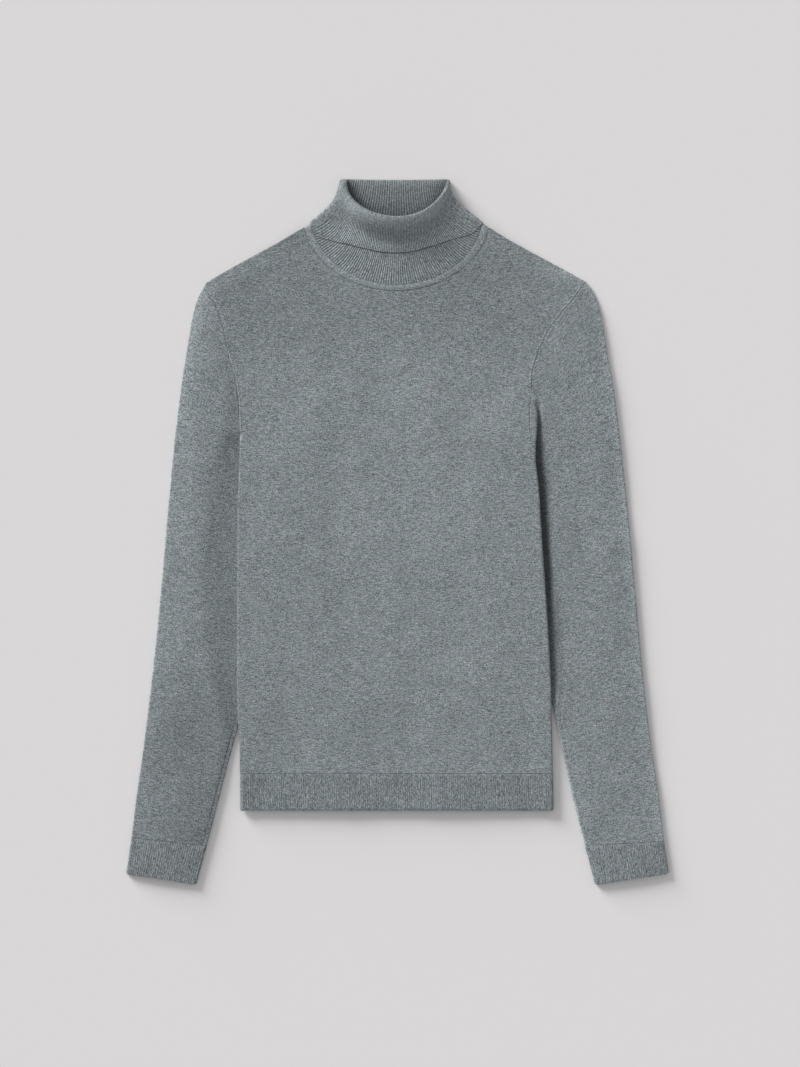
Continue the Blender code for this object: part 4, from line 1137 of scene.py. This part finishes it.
def sleeve_top(side, ring_at, inset, share):
    """Height of a sleeve's upper face, with the seams on its outer face."""
    out, y = sleeve_plan(side, ring_at, share)
    x = SIDES[side] * out
    from_outer, from_inner = from_edges(side, ring_at, share)
    if ring_at >= 0:
        rise = mix(RIM, 1, soft_edge(from_outer) * soft_edge(from_inner))
    else:
        rise = mix(RIM * smooth(*RIM_RAMP[side], ring_at), 1, outline_rise(x, y))
    free = trough(side, out, y)
    height = PRESSED + (CROWN + swell(x, y)) * rise * free
    across = from_outer / (from_outer + from_inner)
    height = mix(height, cuff_top(across), smooth(*CUFF_BLEND, ring_at))
    if inset == 0:
        starts = smooth(*(ARMHOLE[side][-1][1] + up for up in SEAM_STARTS), y)
        relief = lines_beside(distance_to(out, y, ARMHOLE[side]), SEAM_SECTION) * starts
        groove = UNDERARM_GROOVE * bell(from_inner, UNDERARM_GROOVE_WIDTH, UNDERARM_SEAM_AT)
        relief = relief - groove * smooth(*UNDERARM_SHOWN, ring_at)
        height = height + relief * np.clip(free * 2, 0, 1)
    return height


def sleeve_layer(side, inset):
    """A sleeve's rings at an inset into its wall, and their tones."""
    seen = fold_share(side)
    first, second = SLEEVE_COLUMNS
    above = np.concatenate([np.linspace(0, seen, first), np.linspace(seen, 1, second)[1:]])
    rings = []
    tones = []
    for ring_at in SLEEVE_RINGS:
        plan = partial(sleeve_plan, side, ring_at)
        top = partial(sleeve_top, side, ring_at, inset)
        points, share = tube_ring(side, plan, top, inset, above, SLEEVE_BELOW)
        rings.append(points)
        tones.append(sleeve_tone(side, ring_at, share))
    return np.array(rings), np.array(tones)


def sleeve_uv(side, layer):
    """Across and along the knit: the plan, turned to run along the sleeve."""
    rows = np.array(SLEEVE[side])
    start, end = rows[[0, -1]].reshape(2, 2, 2).mean(axis=1)
    down_out, down_y = (end - start) / math.hypot(*(end - start))
    out = SIDES[side] * layer[..., 0] - start[0]
    y = layer[..., 1] - start[1]
    u = y * down_out - out * down_y
    tilt = KNIT_TILT[side] * smooth(*KNIT_TILT_Y, layer[..., 1])
    uv = np.stack([u, out * down_out + y * down_y + tilt * u], axis=-1) * MM
    return np.concatenate([uv, uv[:, :1]], axis=1)


def cuff_plan(outer, inner, drawn_in, share):
    """Plan of one row of a cuff, which rounded corners draw in."""
    return mix(outer, inner, drawn_in + (1 - 2 * drawn_in) * share)


def cuff_height(inset, from_seam, from_end, profile, share):
    """Height of a cuff's upper face, with the ribs on its outer face."""
    tuck_in = CUFF_TUCK_IN * (1 - smooth(*ROUNDED_END, from_end))
    if inset > 0:
        return cuff_top(share) + tuck_in
    return cuff_top(share) - tuck_in + flat_ribs(profile, from_seam, from_end, CUFF_SEAM_DIP)


def cuff_layer(side, inset):
    """A cuff's rings at an inset into its wall."""
    seam = np.array(SLEEVE[side][-1])
    end = np.array(CUFF_END[side])
    gap = SEAM_GAP / (seam[1] - end[1])
    length = math.hypot(*(end - seam)[:2])
    above = np.linspace(0, 1, RIB_COLUMNS * CUFF_RIBS + 1)
    profile = rib_profile(above * CUFF_RIBS)
    rings = []
    for row in CUFF_ROWS:
        outer, inner = mix(seam, end, mix(gap, 1, row)).reshape(2, 2, 1)
        from_end = (1 - row) * length
        drawn_in = corner_inset(from_end) / math.hypot(*(inner - outer)[:, 0])
        plan = partial(cuff_plan, outer, inner, drawn_in)
        top = partial(cuff_height, inset, row * length, from_end, profile)
        points, _ = tube_ring(side, plan, top, inset, above, CUFF_BELOW)
        ribbed = slice(CUFF_FIRST_RIB, CUFF_FIRST_RIB + len(above))
        points[ribbed, 1] += scallop(profile, from_end)
        rings.append(points)
    return np.array(rings)


def make_sleeves(jersey, rib):
    made = {}
    for side in SIDES:
        outer, tone = sleeve_layer(side, 0.0)
        inner, _ = sleeve_layer(side, JERSEY)
        uv = sleeve_uv(side, outer)
        made[f"sleeve_{side}"] = add_cloth(
            f"{side}_sleeve_tube", outer, inner, uv, jersey, True, (tone, tone)
        )
        outer = cuff_layer(side, 0.0)
        inner = cuff_layer(side, RIB)
        uv = sleeve_uv(side, outer)
        tone = rib_tones(CUFF_FIRST_RIB, CUFF_RIBS, CUFF_SEED[side], outer, CUFF_TONE[side])
        made[f"cuff_{side}"] = add_cloth(
            f"{side}_cuff_rib", outer, inner, uv, rib, True, (tone, tone)
        )
    return made


# ---- Collar and neck band


RIB_CROWN = 1.3 * RIB_HEIGHT
# Painted shade in the collar's rib grooves, and how narrow it is
RIB_TONE = 0.6
GROOVE_POWER = 2.5
INSIDE_TONE = 0.96
INSIDE_RIB_TONE = 0.7
# The painted shade inside the neck: in the middle, how much deeper at its right and left, under the
# fold
NECK_DARK = (0.62, 0.22, 0.12, 0.5)
NECK_DARK_REACH = (26, 12)
NECK_RIGHT = (-0.2, -0.9)
NECK_LEFT = (0.4, 1.0)
NECK_FADE = 0.8
SEEN_INSIDE = 0.02
LIP_STEPS = 61
SEAM_STEPS = 2001
FOLD_RIBS = 0.25
# Painted shade at the collar's fold: share of the grooves' shade there, and its highest tone
LIP_RIBS = 0.5
LIP_PAINTED_SHADE = 0.85
RIBS_START = (0.5, 0.12)
RIBS_GROW = 0.32
STAND_RIBS_START = (0, 0.1)
# Painted shade in the turn-down's rib grooves, fading towards the sides
TURN_DOWN_RIB_TONE = 1.45
SIDE_RIB_FADE = 0.55
SIDE_RIB_RANGE = (0.7, 0.2)
CORNER_ANGLE = 0.15
CORNER_STEPS = 12
FRONT_RIBS = 84
BACK_RIBS = 46
COLLAR_STAND = np.array([0.0, 0.04, 0.1, 0.25, 0.45, 0.65, 0.85, 0.93, 0.96, 0.985, 1.0])
# Painted shadow on the stand under the turn-down's edge: where it starts, and its tone
EDGE_LINE = (0.95, 0.97)
UNDER_EDGE_PAINTED_SHADOW = 0.5
COLLAR_COVERED = np.linspace(0, 1, 9)[1:]
COLLAR_FOLD_TURNS = np.linspace(0, math.pi, 10)[1:-1]
COLLAR_TURN_DOWN = np.concatenate([np.linspace(0, 0.95, 13), [0.97, 0.985, 0.995, 1.0]])
TURN_DOWN_END = (0.88, 1.0)
ROLL_LENGTH = (0, 0.6)
LOWEST_EDGE = 0.004
# Ranges of how far to the front or to the back a place lies
AT_CORNER = (0.08, 0.0)
ROLL_FRONT = (0.0, 0.8)
BY_SIDES = (0.5, 0.0)
RISE_FRONT = (0.0, 0.5)
RISE_BACK = (0.0, 0.3)
LIES_FRONT = (0, 0.3)
RIBS_START_FRONT = (0.2, 0.9)
EDGE_NOT_BACK = (0.1, 0.0)
# Painted light and shade on the turn-down in front, a lit crest then a shaded slope, from its fold
# to its edge: share, tone
ROLL_TONE = (
    (0.0, 0.12, 0.24, 0.36, 0.5, 0.7, 0.86, 1.0),
    (1.0, 1.06, 0.96, 0.88, 0.88, 0.98, 1.06, 1.0),
)
ROLL_TONE_FROM = (0.1, 0.55)
# Painted light and shade on the turn-down and the stand round the front, where their slopes face
# from the light or towards it: angle, turn-down, stand
FRONT_LIGHT_AND_SHADE = (
    (0.0, 0.82, 0.94), (0.25, 1.0, 0.98), (0.6, 1.4, 1.14), (1.57, 1.33, 1.19),
    (2.4, 1.43, 1.21), (2.9, 1.32, 1.17), (3.1416, 1.16, 1.08),
)


def fold_roll(phi):
    """Distance between the stand and the turn-down where the collar folds over."""
    front, back = front_back(phi)
    corner = mix(*ROLL_AT_SIDES, toward_left(phi))
    corner = mix(TURN_DOWN_OFFSET, corner, smooth(*AT_CORNER, back))
    return mix(corner, FOLD_ROLL, smooth(*ROLL_FRONT, front))


def painted_light_round_front(phi, column):
    """Painted light and shade round the front of the collar; 1 at the back."""
    rows = np.asarray(FRONT_LIGHT_AND_SHADE)
    return np.where(phi <= math.pi, through(phi, rows[:, 0], rows[:, column]), 1.0)


def inside_shade(points, phi):
    """The painted shade inside the neck, which deepens towards the fold in front."""
    x, y = points[:, :2].T
    lip = fold_ring(np.linspace(0.0, math.pi, LIP_STEPS)).T.tolist()
    half_width, middle_x = FOLD_RING[:2]
    side = np.clip((x - middle_x) / half_width, -1, 1)
    middle, right, left, fold = NECK_DARK
    darkest = middle - right * smooth(*NECK_RIGHT, side) - left * smooth(*NECK_LEFT, side)
    reach = NECK_DARK_REACH[0] - NECK_DARK_REACH[1] * np.abs(side)
    tone = mix(darkest, 1, np.clip(distance_to(x, y, lip) / reach, 0, 1) ** NECK_FADE)
    return np.where(np.sin(phi) < SEEN_INSIDE, tone, fold)


def evenly_round(start, count):
    """Angles of half the neck's round between its corners, evenly spaced along the seam."""
    fine = np.linspace(start + CORNER_ANGLE, start + math.pi - CORNER_ANGLE, SEAM_STEPS)
    length = np.concatenate([[0.0], np.cumsum(np.hypot(*np.diff(seam_ring(fine))))])
    return np.interp(np.linspace(0, length[-1], count + 1), length, fine)


def neck_columns():
    """Angles round the neck; in front, then behind, the ribs' heights and the painted shade of
    their grooves.
    """
    corner = np.linspace(0, CORNER_ANGLE, CORNER_STEPS + 1)[:-1]
    front = evenly_round(0.0, RIB_COLUMNS * FRONT_RIBS)
    back = evenly_round(math.pi, RIB_COLUMNS * BACK_RIBS)
    parts = [corner, front, math.pi - corner[::-1], math.pi + corner[1:], back]
    parts.append(2 * math.pi - corner[:0:-1])
    found = [np.concatenate(parts)]
    for index, ribs in ((1, FRONT_RIBS), (4, BACK_RIBS)):
        profile = rib_profile(np.linspace(0, ribs, RIB_COLUMNS * ribs + 1))
        start = sum(len(part) for part in parts[:index])
        at = slice(start, start + len(profile))
        height = np.zeros(len(found[0]))
        height[at] = RIB_CROWN * profile
        tone = np.ones(len(found[0]))
        tone[at] = (1 - RIB_TONE * (1 - profile**GROOVE_POWER)) / (1 - RIB_TONE / 2)
        found += [height, tone]
    return found


def collar_face(side_sign):
    """One face of the collar's wall, from the seam, over the fold, to the turn-down's edge.

    The face at -1 is the one that shows inside the neck and, over the fold, outside.
    """
    phi, front_rib, front_groove, back_rib, back_groove = neck_columns()
    edge = edge_share(phi)
    low = np.maximum(edge, LOWEST_EDGE)
    half = RIB_MIDDLE * side_sign
    shown = side_sign < 0
    front, back = front_back(phi)
    rows = []
    tones = []

    def add_row(at, away, high=0 * phi):
        """A row away from the stand and high above it."""
        normal, upward = stand_frame(phi, at)
        rows.append(stand_point(phi, at) + normal * away[:, None] + upward * high[:, None])

    levels = []
    for share in COLLAR_STAND:
        line = mix(1, UNDER_EDGE_PAINTED_SHADOW, smooth(*EDGE_LINE, share))
        levels.append((low * share, smooth(*STAND_RIBS_START, share), line))
    levels += [(mix(low, 1, share), 0.0, UNDER_EDGE_PAINTED_SHADOW) for share in COLLAR_COVERED]
    for at, ribbed, line in levels:
        add_row(at, half - back_rib if shown else half + front_rib * ribbed)
        # Painted shade in the grooves and under the turn-down's edge, painted light and shade round
        # the front; inside, the neck's painted shade
        tone = front_groove * painted_light_round_front(phi, 2) * line
        if shown:
            tone = inside_shade(rows[-1], phi) * mix(1, back_groove, INSIDE_RIB_TONE) * INSIDE_TONE
        tones.append(tone)
    roll = fold_roll(phi)
    near_corner = smooth(*BY_SIDES, front) * smooth(*AT_CORNER, back)
    rise = TURN_DOWN_OFFSET / 2 * smooth(*RISE_BACK, back)
    rise = rise + ROLL_RISE * smooth(*RISE_FRONT, front)
    rise = mix(rise, CORNER_RISE, near_corner)
    drop = CORNER_DROP * near_corner
    for turn in COLLAR_FOLD_TURNS:
        at = 1 - drop * (1 - math.cos(turn)) / 2
        relief = FOLD_RIBS * mix(back_rib, front_rib, smooth(0, math.pi, turn)) * shown
        away = roll / 2 - math.cos(turn) * (roll / 2 - half + relief)
        add_row(at, away, math.sin(turn) * (rise - half + relief))
        # Painted shade on the fold's lip
        tones.append(np.minimum(painted_light_round_front(phi, 1), LIP_PAINTED_SHADE) * mix(1, front_groove, LIP_RIBS))
    lies = mix(TURN_DOWN_OFFSET, TURN_DOWN_LIES, smooth(*LIES_FRONT, front))
    ribs_start = mix(*RIBS_START, smooth(*RIBS_START_FRONT, front))
    strength = TURN_DOWN_RIB_TONE * (1 - SIDE_RIB_FADE * smooth(*SIDE_RIB_RANGE, front))
    for share in COLLAR_TURN_DOWN:
        last = smooth(*TURN_DOWN_END, share)
        ribbed = mix(FOLD_RIBS, 1, smooth(0, 1, (share - ribs_start) / RIBS_GROW))
        away = mix(roll, lies, smooth(*ROLL_LENGTH, share))
        away = away + (TURN_DOWN_EDGE[0] - lies) * last * smooth(*EDGE_NOT_BACK, back)
        away = away - mix(half, TURN_DOWN_EDGE[1] * side_sign, last)
        add_row(mix(1 - drop, edge, share), away + front_rib * (1 - last) * ribbed * shown)
        # Painted light and shade on the roll and round the front, and painted shade in the rib
        # grooves
        across = mix(1, through(share, *ROLL_TONE), smooth(*ROLL_TONE_FROM, front))
        tone = mix(1, front_groove, strength * ribbed) * across * painted_light_round_front(phi, 1)
        tones.append(tone if shown else np.ones(len(phi)))
    return np.array(rows), np.array(tones)


def neck_uv(layer):
    """Across and along the knit: the length round the seam, and the length up each column."""
    around = np.hypot(*np.diff(np.concatenate([layer[0], layer[0, :1]]), axis=0)[:, :2].T)
    step = np.linalg.norm(np.diff(layer, axis=0), axis=-1).mean(axis=1)
    lengths = (np.concatenate([[0.0], np.cumsum(steps)]) for steps in (around, step))
    return np.stack(np.meshgrid(*lengths), axis=-1) * MM


def make_collar(cloth):
    (outer, outer_tone), (inner, inner_tone) = (collar_face(sign) for sign in (1.0, -1.0))
    for layer in (outer, inner):
        layer[..., 2] = np.maximum(layer[..., 2], 0.0)
    tones = (outer_tone, inner_tone)
    return add_cloth("roll_collar", outer, inner, neck_uv(outer), cloth, True, tones)


BAND_COLUMNS = 480
BAND_ROWS = np.array([0.0, 0.08, 0.2, 0.35, 0.5, 0.65, 0.8, 0.92, 1.0])
BAND_CROWN = 0.4
BAND_TONE = 1.3
BAND_OUTER_TONE = 0.95
BAND_INNER_TONE = 0.75
BAND_TONE_FRONT = (0.0, 0.15)
BAND_CROWN_FRONT = (0.02, 0.2)
BAND_CROWN_ROUND = 0.6
BAND_CORNERS = 0.2


def make_neck_band(cloth):
    phi = np.linspace(0, 2 * math.pi, BAND_COLUMNS + 1)[:-1]
    corner = np.abs(np.sin(phi)) < BAND_CORNERS
    phi = np.sort(np.concatenate([phi, phi[corner] + math.pi / BAND_COLUMNS]))
    faces = []
    for side_sign in (1.0, -1.0):
        rows = []
        for share in BAND_ROWS:
            at = mix(BAND_START, BAND_END, share)
            normal, _ = stand_frame(phi, at)
            crown = math.sin(math.pi * share) ** BAND_CROWN_ROUND if 0 < share < 1 else 0.0
            proud = BAND_CROWN * crown * smooth(*BAND_CROWN_FRONT, np.sin(phi))
            offset = RIB_MIDDLE * side_sign + proud * (side_sign > 0)
            rows.append(stand_point(phi, at) + normal * offset[:, None])
        faces.append(np.array(rows))
    tone = np.ones(faces[0].shape[:2]) * mix(1, BAND_TONE, smooth(*BAND_TONE_FRONT, np.sin(phi)))
    tone[0] = BAND_OUTER_TONE
    tone[-1] = BAND_INNER_TONE
    return add_cloth("neck_band_link", *faces, neck_uv(faces[0]), cloth, True, (tone, tone))


# ---- Materials


SLANT = (0.62, 0.47, 0.35)
DETAIL = (1.0, 0.6)
STREAK_CONTRAST = (0.31, 0.69)
FLECK_CONTRAST = (0.3, 0.7)
FLECK_OFFSET = 17.0
FLECK_PART = 0.68
FIBRE_POWER = 1.3
FUZZ = (0.9, 0.6, 3.0, 0.7, 71.0)
FUZZ_PART = 0.6
STITCH_LEG = (0.4, 0.6)
BUMP_MM = 0.14
# Slow changes of the yarn's colour: noise, contrast, two tints
CLOUDS = (
    ((14.0, 9.0, 2.0, 0.5, 31.0), (0.3, 0.7), (1.03, 0.99, 1.03, 1.0), (0.975, 1.008, 0.985, 1.0)),
    ((26.0, 18.0, 3.0, 0.6, 53.0), (0.25, 0.75), (0.95, 0.95, 0.95, 1.0), (1.05, 1.05, 1.05, 1.0)),
)
CLOTH_LOOK = {
    "Roughness": 0.92,
    "Specular IOR Level": 0.25,
    "Sheen Weight": 0.12,
    "Sheen Roughness": 0.6,
    "Sheen Tint": (0.8, 0.85, 0.9, 1.0),
}
# Each knit: tint, stitch width and height, contrast of the melange, grain of streaks and of flecks
KNITS = {
    "grey_melange_jersey": (1.0, (1.35, 1.0), 1.03, (6.0, 1.2), (1.4, 1.05)),
    "grey_melange_rib": (0.818, (1.45, 1.0), 0.8, (1.8, 4.0), (1.5, 1.4)),
    "grey_melange_flat_rib": (0.865, (1.45, 1.0), 1.05, (0.95, 7.0), (0.85, 2.2)),
}


def node(tree, kind, inputs, **values):
    """A new node with its values set; inputs holds sockets to link and numbers to set."""
    made = tree.nodes.new(kind)
    for name, value in values.items():
        setattr(made, name, value)
    for key, value in inputs.items():
        if isinstance(value, bpy.types.NodeSocket):
            tree.links.new(value, made.inputs[key])
        else:
            made.inputs[key].default_value = value
    return made


def maths(tree, operation, *values):
    return node(tree, "ShaderNodeMath", dict(enumerate(values)), operation=operation).outputs[0]


def noise(tree, position, across, along_knit, detail, roughness, offset=0.0):
    """Noise whose grains measure across and along_knit millimetres, cut at a slant."""
    scale = (1000.0 / across, 1000.0 / along_knit, 1.0)
    laid = {"Vector": position, "Location": (offset,) * 3, "Rotation": SLANT, "Scale": scale}
    slanted = node(tree, "ShaderNodeMapping", laid).outputs[0]
    grain = {"Vector": slanted, "Scale": 1.0, "Detail": detail, "Roughness": roughness}
    return node(tree, "ShaderNodeTexNoise", grain, noise_dimensions="3D").outputs["Fac"]


def contrast(tree, value, low, high):
    limits = {"Value": value, "From Min": low, "From Max": high}
    return node(tree, "ShaderNodeMapRange", limits).outputs["Result"]


def mixed(tree, factor, first, second, blend="MIX"):
    inputs = {0: factor, 6: first, 7: second}
    return node(tree, "ShaderNodeMix", inputs, data_type="RGBA", blend_type=blend).outputs[2]


def stitches(tree, position, wale, course):
    """The height of V-shaped stitches, wale by course millimetres each."""
    apart = node(tree, "ShaderNodeSeparateXYZ", {0: position})
    u = maths(tree, "MULTIPLY", apart.outputs[0], 1000.0 / wale)
    v = maths(tree, "MULTIPLY", apart.outputs[1], 1000.0 / course)
    within = maths(tree, "FRACT", u)
    column = maths(tree, "SINE", maths(tree, "MULTIPLY", within, math.pi))
    slant = maths(tree, "PINGPONG", u, 0.5)
    phase = maths(tree, "MULTIPLY", maths(tree, "ADD", v, slant), 2 * math.pi)
    leg = maths(tree, "MULTIPLY_ADD", maths(tree, "SINE", phase), *STITCH_LEG)
    return maths(tree, "MULTIPLY", column, leg)


def new_material(name, look):
    """A material whose shader has these inputs, and that shader."""
    made = bpy.data.materials.new(name)
    made.use_nodes = True
    shader = made.node_tree.nodes["Principled BSDF"]
    for key, value in look.items():
        shader.inputs[key].default_value = value
    return made, shader


def knit_material(name):
    """Grey melange knit: dark and light fibres drawn out along the courses, and stitches."""
    tint, stitch, melange, streak, fleck = KNITS[name]
    made, shader = new_material(name, CLOTH_LOOK)
    tree = made.node_tree
    position = node(tree, "ShaderNodeUVMap", {}, uv_map="knit").outputs[0]
    streaks = contrast(tree, noise(tree, position, *streak, *DETAIL), *STREAK_CONTRAST)
    flecks = noise(tree, position, *fleck, *DETAIL, FLECK_OFFSET)
    flecks = contrast(tree, flecks, *FLECK_CONTRAST)
    streaks = maths(tree, "MULTIPLY", streaks, 1 - FLECK_PART)
    fibre = maths(tree, "MULTIPLY_ADD", flecks, FLECK_PART, streaks)
    fibre = maths(tree, "POWER", fibre, FIBRE_POWER)
    middle = np.add(YARN_DARK, YARN_LIGHT) / 2
    ends = [(*mix(middle, np.array(yarn), melange) * tint, 1.0) for yarn in (YARN_DARK, YARN_LIGHT)]
    colour = mixed(tree, fibre, *ends)
    for grain, limits, *tints in CLOUDS:
        cloud = contrast(tree, noise(tree, position, *grain), *limits)
        colour = mixed(tree, 1.0, colour, mixed(tree, cloud, *tints), "MULTIPLY")
    # The shade attribute holds painted light and shade, which multiply the yarn's colour
    shade = node(tree, "ShaderNodeAttribute", {}, attribute_name="shade").outputs["Fac"]
    shaded = node(tree, "ShaderNodeCombineColor", {0: shade, 1: shade, 2: shade}).outputs[0]
    colour = mixed(tree, 1.0, colour, shaded, "MULTIPLY")
    tree.links.new(colour, shader.inputs["Base Color"])
    height = stitches(tree, position, *stitch)
    height = maths(tree, "MULTIPLY_ADD", noise(tree, position, *FUZZ), FUZZ_PART, height)
    relief = {"Height": height, "Strength": 1.0, "Distance": BUMP_MM * MM}
    bump = node(tree, "ShaderNodeBump", relief)
    tree.links.new(bump.outputs[0], shader.inputs["Normal"])
    return made


# ---- Stage


FRAME_HEIGHT = 1.259
FRAME_X = 0.00295
FRAME_Y = -0.00207
LENS = 180.0
SENSOR = 36.0
FLOOR_HALF = 6.0
FLOOR_ROUGHNESS = 0.9
FLOOR_DROP = 0.0002
# Azimuth from +X towards +Y, elevation, spread
WINDOW = (132.0, 14.0, 28.0)
WINDOW_STRENGTH = 4.97
SKY_STRENGTH = 0.49


def add_floor():
    mesh = bpy.data.meshes.new("floor")
    corners = [(x * FLOOR_HALF, y * FLOOR_HALF, 0) for x, y in ((-1, -1), (1, -1), (1, 1), (-1, 1))]
    mesh.from_pydata(corners, [], [(0, 1, 2, 3)])
    look = {"Base Color": (*FLOOR_COLOUR, 1.0), "Roughness": FLOOR_ROUGHNESS}
    mesh.materials.append(new_material("pale_surface", look)[0])
    floor = place("floor", mesh)
    floor.location.z = -FLOOR_DROP


def add_lights():
    """A wide soft light that reaches low from the upper left, and an even sky."""
    data = bpy.data.lights.new("window", "SUN")
    azimuth, elevation, data.angle = (math.radians(angle) for angle in WINDOW)
    data.energy = WINDOW_STRENGTH
    place("window", data).rotation_euler = (math.pi / 2 - elevation, 0, azimuth - 1.5 * math.pi)
    world = bpy.data.worlds.new("studio")
    world.use_nodes = True
    sky = world.node_tree.nodes["Background"]
    sky.inputs["Color"].default_value = (1.0, 1.0, 1.0, 1.0)
    sky.inputs["Strength"].default_value = SKY_STRENGTH
    bpy.context.scene.world = world


def add_camera():
    data = bpy.data.cameras.new("camera")
    data.lens = LENS
    data.sensor_fit = "VERTICAL"
    data.sensor_height = SENSOR
    camera = place("camera", data)
    camera.location = (FRAME_X, FRAME_Y, FRAME_HEIGHT * LENS / SENSOR)
    bpy.context.scene.camera = camera


# ---- The sweater


def main():
    jersey, rib, flat_rib = (knit_material(name) for name in KNITS)
    tone = partial(rib_tones, FOLD_COLUMNS, HEM_RIBS, HEM_SEED)
    panels = add_pair(("front_panel", "back_panel"), body_layer, body_tone, jersey)
    hems = add_pair(("hem_rib_front", "hem_rib_back"), hem_layer, tone, flat_rib)
    pieces = dict(zip(("body_front", "body_back", "hem_front", "hem_back"), panels + hems))
    pieces.update(make_sleeves(jersey, flat_rib))
    pieces["collar"] = make_collar(rib)
    pieces["neck_band"] = make_neck_band(rib)
    for replaced, made in pieces.items():
        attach(made, "root")
        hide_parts(replaced)
    add_floor()
    add_lights()
    add_camera()
    bpy.context.scene.view_settings.view_transform = "Standard"


main()
